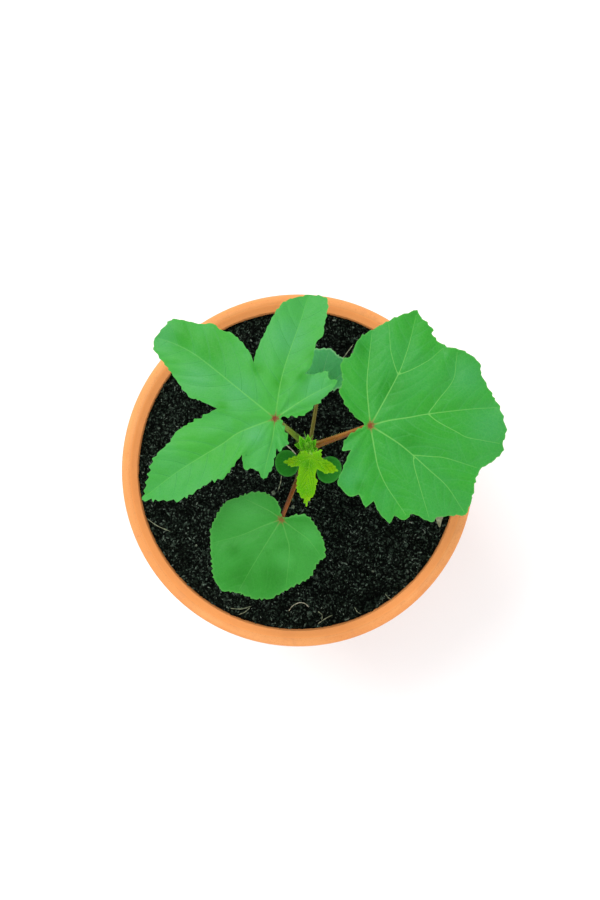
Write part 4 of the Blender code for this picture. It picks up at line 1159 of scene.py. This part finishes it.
def tube_mesh(name, tubes, sides):
    """One mesh of several tubes, each as points and radii in millimetres."""
    verts, faces, values = [], [], {"along": [], "around": []}
    for points, radii in tubes:
        part, part_faces, along, around = tube_parts(points, radii, sides)
        faces += [[len(verts) + index for index in face] for face in part_faces]
        verts += [vert * MM for vert in part]
        values["along"] += along
        values["around"] += around
    mesh = mesh_from(name, verts, faces, values)
    fixed = bmesh.new()
    fixed.from_mesh(mesh)
    bmesh.ops.recalc_face_normals(fixed, faces=fixed.faces)
    fixed.to_mesh(mesh)
    fixed.free()
    return mesh


def stem_at(height):
    """Centre of the stem at a height, and its radius there, in millimetres."""
    heights = [point[2] for point in STEM_PATH]
    x = np.interp(height, heights, [point[0] for point in STEM_PATH])
    y = np.interp(height, heights, [point[1] for point in STEM_PATH])
    ends = (SOIL_TOP / MM, heights[-1])
    radius = np.interp(height, ends, (STEM_RADIUS / MM, STEM_TOP_RADIUS / MM))
    return Vector((x, y, height)), radius


def make_stem(finish):
    """The stem, flared where it leaves the soil and swollen at each leaf's node."""
    nodes = [leaf["stem_height"] for leaf in LEAVES.values()] + [SEED_NODE]
    points, radii = smooth_path(STEM_PATH, STEM_STEPS), []
    for point in points:
        height = point[2]
        swell = sum(NODE_SWELL * math.exp(-((height - node) / NODE_SPREAD) ** 2) for node in nodes)
        flare = STEM_FLARE * math.exp(-max(0.0, height - SOIL_TOP / MM) / STEM_FLARE_HEIGHT)
        radii.append(stem_at(height)[1] * (1 + min(swell, MOST_SWELL * NODE_SWELL) + flare))
    mesh = tube_mesh("okra_stem", [(points, radii)], TUBE_SIDES)
    finish_piece(add_object("okra_stem", mesh, finish), "stem", "stem")
    return mesh


def stalk_path(leaf):
    """A stalk from inside the stem to its blade's joint, and its radii."""
    radius, end_radius = leaf["stalk"]
    centre, stem_radius = stem_at(leaf["stem_height"])
    joint = Vector(leaf["joint"])
    heading = Vector((joint.x - centre.x, joint.y - centre.y, 0)).normalized()
    rise = math.radians(leaf["rise"])
    end_rise = math.radians(leaf["end_rise"])
    out = heading * math.cos(rise) + Vector((0, 0, math.sin(rise)))
    last = heading * math.cos(end_rise) + Vector((0, 0, math.sin(end_rise)))
    start = centre + heading * (stem_radius + 1.5 * CAD_GAP / MM + radius * math.sin(rise))
    drop = (CAD_BLADE / 2 + 1.5 * CAD_GAP) / MM + end_radius * math.cos(end_rise)
    end = joint - Vector((0, 0, drop))
    bend = (end - start).length * STALK_BEND
    curve = interpolate_bezier(start, start + out * bend, end - last * bend, end, STALK_POINTS)
    points = [*(start - out * radius * root for root in STALK_ROOTS), *curve]
    points.append(end + last * end_radius * STALK_SEAT[0] + Vector((0, 0, end_radius * STALK_SEAT[1])))
    radii = []
    for number in range(len(points)):
        t = number / (len(points) - 1)
        body = end_radius + (radius - end_radius) * (1 - t) ** 2
        foot = STALK_FOOT_SWELL * math.exp(-(t / STALK_FOOT_LENGTH) ** 2)
        end_swell = STALK_END_SWELL * math.exp(-((1 - t) / STALK_END_LENGTH) ** 2)
        radii.append(body * (1 + foot + end_swell))
    radii[-1] *= STALK_TIP
    return points, radii


def make_stalk(name, leaf, finish):
    points, radii = stalk_path(leaf)
    mesh = tube_mesh(f"{name}_stalk", [(points, radii)], TUBE_SIDES)
    finish_piece(add_object(f"{name}_stalk", mesh, finish), leaf["stalk_slot"], f"{leaf['node']}_stalk")
    return mesh


# Blades

def chain_lengths(chain):
    return np.concatenate(([0.0], np.cumsum(np.hypot(*np.diff(chain[:, :2], axis=0).T))))


def at_length(chain, along, place):
    """The point of a flat chain at a length along it."""
    return np.array([np.interp(place, along, chain[:, axis]) for axis in (0, 1)])


def even_points(chain, spacing):
    """Points at an even spacing along a flat chain, with both its ends."""
    along = chain_lengths(chain)
    places = np.linspace(0.0, along[-1], max(2, round(along[-1] / spacing) + 1))
    return at_length(chain, along, places).T


def nearest_on_chain(points, chain):
    """Each flat point's distance to a chain, and its nearest place's share of the chain's length."""
    along = chain_lengths(chain)
    x, y = chain[:-1].T
    run_x, run_y = np.diff(chain, axis=0).T
    square = np.maximum(run_x ** 2 + run_y ** 2, 1e-12)
    distance = np.zeros(len(points))
    share = np.zeros(len(points))
    for low in range(0, len(points), BATCH):
        part = slice(low, low + BATCH)
        off_x = points[part, :1] - x
        off_y = points[part, 1:] - y
        local = np.clip((off_x * run_x + off_y * run_y) / square, 0.0, 1.0)
        gap = (off_x - local * run_x) ** 2 + (off_y - local * run_y) ** 2
        nearest = gap.argmin(axis=1)
        rows = np.arange(len(nearest))
        distance[part] = np.sqrt(gap[rows, nearest])
        share[part] = along[nearest] + local[rows, nearest] * (along[nearest + 1] - along[nearest])
    return distance, share / along[-1]


def edge_gap(points, edge):
    """Each flat point's distance to a closed edge."""
    return nearest_on_chain(points, np.vstack((edge, edge[:1])))[0]


def inside_edge(points, edge):
    """Which flat points lie within a closed edge."""
    x1, y1 = edge.T
    x2, y2 = np.roll(edge, -1, axis=0).T
    slope = (x2 - x1) / np.where(y1 == y2, 1.0, y2 - y1)
    inside = np.zeros(len(points), dtype=bool)
    for low in range(0, len(points), BATCH):
        part = slice(low, low + BATCH)
        x, y = points[part, :1], points[part, 1:]
        crossed = ((y1 > y) != (y2 > y)) & (x < slope * (y - y1) + x1)
        inside[part] = crossed.sum(axis=1) % 2 == 1
    return inside


def tooth_push(share, peak):
    """Height of a tooth at a share of its length, from 0 in the gap to 1 at its point."""
    rise = share / peak if share < peak else (1 - share) / (1 - peak)
    return rise ** TOOTH_SHARPNESS


def toothed_edge(leaf, draw):
    """A blade's edge as flat points: smooth between corners, with uneven teeth that lean to the tips."""
    points = leaf["edge"]
    start = next(index for index, point in enumerate(points) if len(point) > 2)
    ring = [*points[start:], *points[:start]]
    corners = [index for index, point in enumerate(ring) if len(point) > 2] + [len(ring)]
    edge = []
    for first, last in zip(corners, corners[1:]):
        span = [ring[index % len(ring)] for index in range(first, last + 1)]
        chain = np.array(smooth_path([point[:2] for point in span], EDGE_STEPS))
        along = chain_lengths(chain)
        length = along[-1]
        teeth = max(1, round(length / leaf["pitch"]))
        ends = np.linspace(0.0, length, teeth + 1)
        ends[1:-1] += draw.uniform(-TOOTH_UNEVENNESS, TOOTH_UNEVENNESS, teeth - 1) * length / teeth
        peak = 1 - TOOTH_PEAK if span[0][2] == TIP else TOOTH_PEAK
        size = leaf["tooth"] * (span[0][3] if len(span[0]) > 3 else 1.0)
        rooms = [NOTCH_ROOM if kind == NOTCH else TIP_ROOM for kind in (span[0][2], span[-1][2])]
        for low, high in zip(ends, ends[1:]):
            depth = size * draw.uniform(*TOOTH_DEPTHS)
            count = max(3, round((high - low) / leaf.get("edge_step", EDGE_STEP)))
            for step in range(count):
                place = low + (high - low) * step / count
                push = depth * (TOOTH_OUT + TOOTH_IN) * tooth_push(step / count, peak) - depth * TOOTH_IN
                push *= min(1.0, place / rooms[0], (length - place) / rooms[1])
                behind, here, ahead = (at_length(chain, along, place + shift) for shift in TOOTH_RUN)
                run = ahead - behind
                edge.append(here + np.array((run[1], -run[0])) / math.hypot(*run) * push)
    return np.array(edge)


def main_ribs(leaf, edge):
    """Main veins and their branches, run out to the edge, with their half widths at start and end."""
    ribs = []
    for vein in (*leaf["veins"], *leaf["branches"]):
        chain = smooth_path(vein, 10)
        run = (chain[-1] - chain[-4]) / np.linalg.norm(chain[-1] - chain[-4])
        while len(chain) < LONGEST_RIB:
            ahead = np.array([chain[-1] + run])
            if not inside_edge(ahead, edge)[0] or edge_gap(ahead, edge)[0] < VEIN_END_ROOM:
                break
            chain.append(ahead[0])
        share = BRANCH_SHARE if math.hypot(*vein[0]) > BRANCHES_FROM else 1.0
        ribs.append((np.array(chain), leaf["rib"] * share, VEIN_END_SHARE * leaf["rib"]))
    return ribs


def side_path(start, course, side, pitch, taken, edge):
    """One side vein, bending towards the tip, up to another vein or near the edge."""
    x, y = start
    path = [(x, y)]
    angle = side
    step = SIDE_STEP * pitch / SIDE_UNIT
    while len(path) * step < SIDE_LONGEST:
        x += step * math.cos(course + angle)
        y += step * math.sin(course + angle)
        angle *= 1 - math.radians(SIDE_BEND)
        here = np.array([(x, y)])
        if not inside_edge(here, edge)[0] or edge_gap(here, edge)[0] < SIDE_EDGE_ROOM:
            break
        gaps = np.hypot(taken[:, 0] - x, taken[:, 1] - y)
        if len(path) > 2 and gaps.min() < SIDE_ROOM * pitch / SIDE_UNIT:
            path.append(tuple(taken[gaps.argmin()]))
            break
        path.append((x, y))
    return path


def side_ribs(leaf, ribs, edge, draw):
    """Side veins leave the main ones in turn left and right."""
    taken = np.vstack([even_points(chain, VEIN_SPACING) for chain, _, _ in ribs])
    pitch = leaf["side_pitch"]
    angle = math.radians(leaf.get("side_angle", SIDE_ANGLE))
    half, end_half = (share * leaf["rib"] for share in SIDE_HALF)
    grown = []
    for chain, _, _ in ribs:
        along = chain_lengths(chain)
        for side, first in SIDE_STARTS:
            for place in np.arange(first * pitch, along[-1] - SIDE_END_ROOM * pitch, pitch):
                place += draw.uniform(-SIDE_UNEVENNESS, SIDE_UNEVENNESS) * pitch
                start, ahead = at_length(chain, along, place), at_length(chain, along, place + 1.0)
                course = math.atan2(ahead[1] - start[1], ahead[0] - start[0])
                path = side_path(start, course, angle * side, pitch, taken, edge)
                if len(path) > 3:
                    smooth = np.array(smooth_path(path, 2))
                    grown.append((smooth, half, end_half))
                    taken = np.vstack((taken, even_points(smooth, VEIN_SPACING)[2:]))
    return grown


class PointBed:
    """Flat points of a blade, where a new one close to another is taken as that one."""

    def __init__(self, edge):
        self.points = np.zeros((MOST_POINTS, 2))
        self.points[:len(edge)] = edge
        self.count = len(edge)
        self.lines = []

    def add(self, point, merge):
        gaps = np.hypot(*(self.points[:self.count] - point).T)
        nearest = int(gaps.argmin())
        if gaps[nearest] < merge:
            return nearest
        self.points[self.count] = point
        self.count += 1
        return self.count - 1

    def add_line(self, chain, merge):
        """Lay a chain of points, joined by fixed edges."""
        previous = None
        for point in chain:
            index = self.add(point, merge)
            if previous is not None and previous != index:
                self.lines.append((previous, index))
            previous = index


def beside(chain, offset):
    """A chain moved sideways by an offset for each of its points."""
    run = np.gradient(chain, axis=0)
    run /= np.hypot(run[:, 0], run[:, 1])[:, None]
    return chain + np.column_stack((-run[:, 1], run[:, 0])) * np.asarray(offset)[:, None]


def fill_points(bed, edge, grain):
    """An even filling between the edge and the veins."""
    low, high = edge.min(axis=0), edge.max(axis=0)
    row_height = grain * math.sqrt(3) / 2
    rows = np.arange(low[1], high[1], row_height)
    lattice = []
    for number, y in enumerate(rows):
        x = np.arange(low[0], high[0], grain) + (0.5 * grain if number % 2 else 0.0)
        lattice.append(np.column_stack((x, np.full(len(x), y))))
    lattice = np.vstack(lattice)
    lattice = lattice[inside_edge(lattice, edge)]
    lattice = lattice[edge_gap(lattice, edge) > EDGE_CLEAR * grain]
    tree = kdtree.KDTree(bed.count)
    for index in range(bed.count):
        tree.insert((*bed.points[index], 0.0), index)
    tree.balance()
    clear = [point for point in lattice if tree.find((*point, 0.0))[2] > FILL_CLEAR * grain]
    return np.vstack((bed.points[:bed.count], clear))


def triangulate(edge, ribs, grain):
    """Flat points and triangles of a blade, with its veins along the triangles' edges."""
    bed = PointBed(edge)
    for chain, start, end in ribs:
        centre = even_points(chain, grain)
        free = inside_edge(centre, edge) & (edge_gap(centre, edge) > VEIN_CLEAR * grain)
        centre = centre[free]
        if len(centre) < 2:
            continue
        bed.add_line(centre, VEIN_MERGE * grain)
        half = np.linspace(start, end, len(centre))
        wide = (half > SIDES_FROM * grain) & (np.hypot(*centre.T) > JOINT_ROOM)
        for sign in (1, -1):
            bed.add_line(beside(centre, sign * half)[wide], VEIN_MERGE * grain)
    points = fill_points(bed, edge, grain)
    outline = [list(range(len(edge)))]
    flat = [Vector(point) for point in points]
    verts, _, faces, *_ = delaunay_2d_cdt(flat, bed.lines, outline, 1, 1e-5)
    verts = np.array([tuple(vert) for vert in verts])
    faces = np.array(faces)
    used = np.unique(faces)
    fresh = np.zeros(len(verts), dtype=int)
    fresh[used] = np.arange(len(used))
    return verts[used], fresh[faces]


def rib_measure(points, ribs):
    """Distance to the nearest vein as a share of its half width, and that half width."""
    ratio = np.full(len(points), np.inf)
    half = np.zeros(len(points))
    for chain, start, end in ribs:
        distance, share = nearest_on_chain(points, chain)
        width = start + (end - start) * share ** VEIN_TAPER
        closer = distance / width < ratio
        ratio[closer] = (distance / width)[closer]
        half[closer] = width[closer]
    return ratio, half


def base_level(leaf, points):
    """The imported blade's own height: lean, droop, swelling between the veins and a waved margin."""
    distance = np.hypot(*points.T)
    level = points @ np.array(leaf["lean"]) - leaf["droop"] * DROOP_UNIT * distance ** 2
    chains = [np.array(smooth_path(vein, 4)) for vein in leaf["veins"]]
    near = np.min([nearest_on_chain(points, chain)[0] for chain in chains], axis=0)
    reach = leaf["reach"] * CAD_SWELL_REACH
    swell = leaf["puff"] * (1.0 - np.exp(-(near / reach) ** 2 * SWELL_SHARPNESS))
    outline = np.array([point[:2] for point in (*leaf["edge"], leaf["edge"][0])], dtype=float)
    margin = np.exp(-nearest_on_chain(points, outline)[0] / (reach * RIPPLE_REACH))
    turn = np.arctan2(points[:, 1], points[:, 0])
    ripple = leaf["wave"] * margin * np.sin(leaf["waves"] * turn + WAVE_START)
    calm = np.minimum(1.0, distance / (CALM_REACH * reach))
    return level + (swell + ripple) * calm


def pleat_level(leaf, points):
    """Folds pressed into a blade, deepest at their start."""
    level = np.zeros(len(points))
    for start, end, depth, width in leaf["pleats"]:
        distance, share = nearest_on_chain(points, np.array((start, end), dtype=float))
        level -= depth * (1 - share) * np.exp(-(distance / width) ** 2)
    return level


def spots(points, places):
    """How strongly each point lies within soft round places."""
    share = np.zeros(len(points))
    for x, y, radius in places:
        near = np.hypot(points[:, 0] - x, points[:, 1] - y) / radius
        share = np.maximum(share, np.exp(-near ** 2))
    return share


def two_sided(name, points, faces, top, bottom, values, place):
    """A closed blade from one triangulation: its upper face, its under face and its rim."""
    count = len(points)
    upper, lower = np.column_stack((points, top)), np.column_stack((points, bottom))
    verts = [place @ Vector(vert) * MM for vert in np.vstack((upper, lower))]
    a, b, c = (points[corners] for corners in faces.T)
    turn = (b[:, 0] - a[:, 0]) * (c[:, 1] - a[:, 1]) - (b[:, 1] - a[:, 1]) * (c[:, 0] - a[:, 0])
    faces = np.where(turn[:, None] > 0, faces, faces[:, ::-1])
    sheet = [tuple(face) for face in faces.tolist()]
    below = [tuple(face) for face in (faces[:, ::-1] + count).tolist()]
    runs = {run for one, two, three in sheet for run in ((one, two), (two, three), (three, one))}
    rim = sorted((two, one, one + count, two + count) for one, two in runs if (two, one) not in runs)
    doubled = {label: np.concatenate((numbers, numbers)) for label, numbers in values.items()}
    doubled["below"] = np.repeat((0.0, 1.0), count)
    mesh = mesh_from(name, verts, sheet + below + rim, doubled)
    mesh.set_sharp_from_angle(angle=math.radians(BLADE_CREASE))
    return mesh


def blade_mesh(name, leaf, place, fold=0.0):
    """A leaf's blade with its veins, quilting and teeth; place moves it from its joint to the plant."""
    draw = np.random.default_rng(leaf["seed"])
    edge = toothed_edge(leaf, draw)
    ribs = main_ribs(leaf, edge)
    sides = side_ribs(leaf, ribs, edge, draw)
    points, faces = triangulate(edge, ribs + sides, leaf["grain"])
    rib, rib_half = rib_measure(points, ribs)
    side, side_half = rib_measure(points, sides)
    rim = edge_gap(points, edge)
    near = np.minimum(side * side_half, rib * rib_half)
    level = base_level(leaf, points) + pleat_level(leaf, points)
    level += leaf["quilt"] * (1 - np.exp(-(near / QUILT_REACH) ** 2))
    level += fold * np.abs(points[:, 0])
    half = 0.5 * BLADE_THICKNESS * (RIM_THIN + (1 - RIM_THIN) * np.minimum(1.0, rim / RIM_REACH))
    groove = np.exp(-rib ** 2) * rib_half + SIDE_GROOVE * np.exp(-side ** 2) * side_half
    sizes = ((rib, rib_half), (side, side_half))
    humps = [np.sqrt(np.clip(1 - far ** 2, 0.0, 1.0)) * wide for far, wide in sizes]
    values = {
        "rib": np.minimum(rib, FAR), "side": np.minimum(side, FAR), "edge": rim,
        "painted_shade": PAINTED_SHADE_SHARE * spots(points, leaf["painted_shades"]), "painted_sheen": spots(points, leaf.get("painted_sheens", ())),
        "heart": np.hypot(*points.T),
    }
    top = level + half - RIB_GROOVE * groove
    return two_sided(name, points, faces, top, level - half - RIB_DEPTH * np.maximum(*humps), values, place)


def make_blade(name, leaf, finish):
    mesh = blade_mesh(f"{name}_blade", leaf, Matrix.Translation(leaf["joint"]))
    finish_piece(add_object(f"{name}_blade", mesh, finish), leaf["slot"], leaf["node"])
    return mesh


def seed_edge(radius, reach):
    """A seed leaf's edge: round, with its flat stalk running out along +X to the stem."""
    opening = math.asin(SEED_STALK_HALF / radius) * 1.6
    angles = np.linspace(opening, math.tau - opening, SEED_POINTS)
    wide = radius * (1.0 - SEED_OVAL * np.cos(2 * angles))
    blade = np.column_stack((wide * np.cos(angles), wide * np.sin(angles)))
    shoulder = blade[-1][0]
    runs = np.arange(shoulder + 0.6, reach, 0.5)
    lower = [(x, -SEED_STALK_HALF - 0.5 * math.exp(-(x - shoulder) / 0.8)) for x in runs]
    upper = [(x, -y) for x, y in reversed(lower)]
    return np.vstack((blade, lower, [(reach, -SEED_STALK_HALF), (reach, SEED_STALK_HALF)], upper))


def make_seed_leaf(name, leaf, finish):
    """A round seed leaf, slightly dished, on a thick flat stalk that reaches the stem."""
    centre, radius = Vector(leaf["centre"]), leaf["radius"]
    node, stem_radius = stem_at(SEED_NODE)
    back = Vector((node.x - centre.x, node.y - centre.y))
    reach = back.length - SEED_SEAT * stem_radius
    edge = seed_edge(radius, reach)
    paths = [((reach - 1.0, 0.0), (0.0, 0.0), (-6.2, 0.0))]
    paths += [((3.5, 0.0), (-0.1, y * 0.62), (-3.7, y)) for y in (4.6, -4.6)]
    ribs = [(np.array(smooth_path(path, 8)), *half) for path, half in zip(paths, SEED_RIBS)]
    points, faces = triangulate(edge, ribs, SEED_GRAIN)
    rib, rib_half = rib_measure(points, ribs)
    rim = edge_gap(points, edge)
    start = radius * SEED_STALK_SHARE
    along = np.clip((points[:, 0] - start) / (reach - start), 0.0, 1.0)
    dish = SEED_DISH * (points ** 2).sum(axis=1) / radius ** 2
    level = dish * (1.0 - along) - (centre.z - node.z) * along
    thick = SEED_THICKNESS + (SEED_STALK_THICKNESS - SEED_THICKNESS) * along ** 0.5
    half = 0.5 * thick * np.sqrt(np.clip(rim / SEED_RIM, SEED_RIM_THIN, 1.0))
    top = level + half - SEED_GROOVE * np.exp(-rib ** 2) * rib_half * (1 - along)
    far = np.full(len(points), FAR)
    values = {
        "rib": np.minimum(rib, FAR), "side": far, "edge": rim, "painted_sheen": 0.0 * far, "heart": far,
        # Painted shadow of the crown, darkest towards the stalk
        "painted_shade": PAINTED_SHADE_SHARE * spots(points, ((SEED_STALK_SHARE * radius, 0.0, SEED_SHADE),)),
    }
    place = Matrix.Translation(centre) @ Matrix.Rotation(math.atan2(back.y, back.x), 4, "Z")
    mesh = two_sided(f"{name}_seed_leaf", points, faces, top, level - half, values, place)
    finish_piece(add_object(f"{name}_seed_leaf", mesh, finish), "seed_green", leaf["node"])


# Tip of the shoot

def bud_place(foot, tip, width):
    """Where a bud leaf stands: from its foot to its tip, its upper face turned up and inward."""
    foot, tip = Vector(foot), Vector(tip)
    length = (tip - foot).length
    out = (tip - foot) / length
    inward = (Vector((0, 0, 1)) - out * out.z).normalized()
    side = (-out).cross(inward)
    axes = Matrix((side, -out, inward)).transposed().to_4x4()
    along = length / BUD_LENGTH
    size = Matrix.Diagonal((width / BUD_WIDTH, along, along, 1.0))
    return Matrix.Translation(foot) @ axes @ size


def join_meshes(name, meshes):
    """One mesh of several, which keep the values that their points carry."""
    items = [new_object(name, mesh) for mesh in meshes]
    with bpy.context.temp_override(
        active_object=items[0], selected_objects=items, selected_editable_objects=items, object=items[0],
    ):
        bpy.ops.object.join()
    mesh = items[0].data
    bpy.data.objects.remove(items[0])
    mesh.name = name
    return mesh


def bud_leaf_meshes():
    """Small leaves still folded along the middle, with furrows between their veins."""
    meshes = []
    for number, (foot, tip, width) in enumerate(BUD_LEAVES):
        leaf = dict(BUD_LEAF, seed=BUD_SEED + number)
        mesh = blade_mesh("bud_leaf", leaf, bud_place(foot, tip, width), BUD_FOLD)
        mesh.attributes.new("along", "FLOAT", "POINT")
        meshes.append(mesh)
    return meshes


def stipule(azimuth, lean, length, height):
    """A narrow pointed stipule curving up from the stem, as a path and its radii."""
    turn, tilt = math.radians(azimuth), math.radians(lean)
    centre, radius = stem_at(height)
    out = Vector((math.cos(turn), math.sin(turn), 0.0))
    start = centre + out * radius * 0.6
    middle = start + out * length * 0.55 * math.sin(tilt) + Vector((0, 0, length * 0.5 * math.cos(tilt)))
    end = start + out * length * math.sin(tilt) + Vector((0, 0, length * (0.15 + math.cos(tilt))))
    path = smooth_path((start, middle, end), 5)
    shares = (step / (len(path) - 1) for step in range(len(path)))
    return path, [STIPULE_HALF * (1 - share ** 1.5) + STIPULE_POINT for share in shares]


def make_shoot_tip(finish):
    """The shoot's tip: a rounded core, folded bud leaves and narrow stipules."""
    profile = [(max(0.0, x * MM), z * MM) for x, z in smooth_path(BUD_PROFILE, 4)]
    core = turned_mesh("bud_core", profile, BUD_CORE_STEPS)
    core.transform(Matrix.Translation(BUD_BASE * MM))
    tubes = []
    for foot, _, _ in BUD_LEAVES:
        foot = Vector(foot)
        start = Vector((BUD_BASE.x, BUD_BASE.y, foot.z - BUD_STALK_DROP))
        tubes.append(([start, (start + foot) / 2, foot], BUD_STALK_RADII))
    tubes += [stipule(*values) for values in STIPULES]
    stems = tube_mesh("bud_stalks", tubes, BUD_STALK_SIDES)
    mesh = join_meshes("shoot_tip", [*bud_leaf_meshes(), stems, core])
    mesh.shade_smooth()
    mesh.set_sharp_from_angle(angle=math.radians(BLADE_CREASE))
    finish_piece(add_object("shoot_tip", mesh, finish), "bud_green", "crown_bud")
    return mesh


def grow_hairs(name, meshes, tree, hairs, slot, material):
    """Hairs over copies of some meshes."""
    density, shortest, longest, seed = hairs
    grow_on(name, join_meshes(name, [mesh.copy() for mesh in meshes]), tree, {
        "Density": float(density), "Shortest": shortest * MM, "Longest": longest * MM,
        "Half thickness": HAIR_HALF * MM, "Tilt": HAIR_TILT, "Seed": seed, "Material": material,
    }, slot)


# Litter on the soil

def surface_height(x, y):
    """Height of the soil's surface at a place in millimetres."""
    return SOIL_TOP / MM + soil_relief(x * MM, y * MM, inner_radius(SOIL_TOP)) / MM


def make_fibres(name, paths, finish):
    """Rootlets and fibres lying over the crumbs, a little arched."""
    tubes = []
    for path, half in paths:
        flat = smooth_path(path, 7)
        level = max(surface_height(x, y) for x, y in flat)
        middle = (len(flat) - 1) / 2
        points, radii = [], []
        for number, (x, y) in enumerate(flat):
            arch = 1 - ((number - middle) / middle) ** 2
            height = max(surface_height(x, y) + FIBRE_LIFT, level + FIBRE_CLEAR + FIBRE_ARCH * arch)
            points.append((x, y, height))
            radii.append(half * (0.75 + 0.25 * math.sin(number * 1.3)))
        radii[0] = radii[-1] = FIBRE_END * half
        tubes.append((points, radii))
    finish_piece(add_object(name, tube_mesh(name, tubes, FIBRE_SIDES), finish), "earth")


def make_pale_bits(finish):
    """A few pale crumbs."""
    body = bmesh.new()
    for x, y, radius in PALE_BITS:
        centre = Vector((x, y, surface_height(x, y) + PALE_BIT_LIFT)) * MM
        made = bmesh.ops.create_icosphere(
            body, subdivisions=3, radius=radius * MM, matrix=Matrix.Translation(centre),
        )
        for vert in made["verts"]:
            lump = 1 + PALE_BIT_LUMPS * noise.noise(vert.co / (PALE_BIT_LUMP_SIZE * MM))
            vert.co = centre + (vert.co - centre) * lump
    mesh = bpy.data.meshes.new("pale_soil_bits")
    body.to_mesh(mesh)
    body.free()
    mesh.shade_smooth()
    finish_piece(add_object("pale_soil_bits", mesh, finish), "earth")


def make_leaf_scrap(finish):
    """A dry, curled scrap of leaf by the pot's edge."""
    edge = np.array(smooth_path((*SCRAP_OUTLINE, SCRAP_OUTLINE[0]), 5)[:-1])
    midrib = (np.array(smooth_path(SCRAP_MIDRIB, 6)), 0.3, 0.15)
    points, faces = triangulate(edge, [midrib], SCRAP_GRAIN)
    across = points[:, 0] - edge.mean(axis=0)[0]
    ground = max(surface_height(x, y) for x, y in points)
    level = ground + SCRAP_LIFT + SCRAP_CURL * across ** 2 + SCRAP_WAVE * np.sin(points[:, 1] * 0.9)
    values = {"rib": rib_measure(points, [midrib])[0]}
    sides = (level + SCRAP_HALF, level - SCRAP_HALF)
    mesh = two_sided("dry_leaf_scrap", points, faces, *sides, values, Matrix.Identity(4))
    finish_piece(add_object("dry_leaf_scrap", mesh, finish), "earth")


# Scene

def make_stage():
    """A pale floor, a pale sky and two soft lamps."""
    half = FLOOR_SIZE / 2
    corners = [(x * half, y * half, -FLOOR_DROP) for x, y in ((-1, -1), (1, -1), (1, 1), (-1, 1))]
    floor = mesh_from("studio_floor", corners, [(0, 1, 2, 3)])
    floor.materials.append(floor_finish())
    new_object("studio_floor", floor)
    world = bpy.data.worlds.new("pale_sky")
    world.use_nodes = True
    sky = world.node_tree.nodes["Background"].inputs
    sky["Color"].default_value = (*SKY_COLOUR, 1.0)
    sky["Strength"].default_value = SKY_STRENGTH
    bpy.context.scene.world = world
    for name, (place, width, watts) in LAMPS.items():
        lamp = bpy.data.lights.new(name, "AREA")
        lamp.size = width
        lamp.energy = watts
        item = new_object(name, lamp)
        item.location = place
        item.rotation_euler = (LAMP_AIM - Vector(place)).to_track_quat("-Z", "Y").to_euler()


def make_camera():
    """Straight down over the plant, as the photograph was taken."""
    lens = bpy.data.cameras.new("photo_camera")
    lens.lens = CAMERA_LENS
    lens.sensor_width = CAMERA_SENSOR
    camera = new_object("photo_camera", lens)
    camera.location = CAMERA_PLACE
    bpy.context.scene.camera = camera
    bpy.context.scene.view_settings.view_transform = "Standard"


def leaf_finishes():
    return {leaf: leaf_finish(name, look) for leaf, (name, look) in LEAF_LOOKS.items()}


def stalk_finishes():
    return {leaf: stalk_finish(name, stops, streak) for leaf, (name, stops, streak) in STALK_LOOKS.items()}


def make_ground():
    """The soil with its crumbs and litter."""
    ground = earth_finish("moist_soil", GROUND_TONES, 0.03)
    surface = make_soil(ground)
    crumb = earth_finish("soil_crumb", CRUMB_TONES, 0.05)
    flake = earth_finish("soil_flake", FLAKE_TONES, 0.07)
    strew_crumbs(surface, {
        "soil_clods": crumb, "soil_crumbs": crumb, "soil_flakes": flake, "soil_grains": ground,
    })
    dry_stalk = plain_finish("dry_stalk", (196, 192, 170), (150, 146, 124), 500, 0.8)
    dry_fibre = plain_finish("dry_fibre", (138, 144, 118), (96, 102, 80), 500, 0.8)
    make_fibres("dry_stalks", DRY_STALKS, dry_stalk)
    make_fibres("soil_fibres", FIBRES, dry_fibre)
    make_pale_bits(plain_finish("pale_crumb", (104, 114, 96), (62, 70, 58), 900, 0.85))
    make_leaf_scrap(plain_finish("dry_leaf", (156, 160, 132), (120, 122, 94), 300, 0.7))


def make_plant():
    """The stem, the seed leaves, each leaf with its stalk, the shoot's tip, and the hairs on them."""
    blades, stalks = leaf_finishes(), stalk_finishes()
    hairy = [make_stem(stalks["stem"])]
    for name, leaf in SEED_LEAVES.items():
        make_seed_leaf(name, leaf, blades["seed"])
    leaf_meshes = {}
    for name, leaf in LEAVES.items():
        leaf_meshes[name] = make_blade(name, leaf, blades[name])
        hairy.append(make_stalk(name, leaf, stalks[name]))
    tip = make_shoot_tip(blades["bud"])
    hairs = hair_tree()
    down = plain_finish("pale_down", (182, 206, 120), (156, 186, 92), 900, 0.5, 0.2, 0.00002)
    grow_hairs("stalk_hairs", hairy, hairs, STALK_HAIRS, "stem", down)
    grow_hairs("bud_hairs", [tip, leaf_meshes["young"]], hairs, BUD_HAIRS, "bud_green", down)


def main():
    noise.seed_set(NOISE_SEED)
    make_camera()
    make_stage()
    make_pot()
    make_ground()
    make_plant()


main()
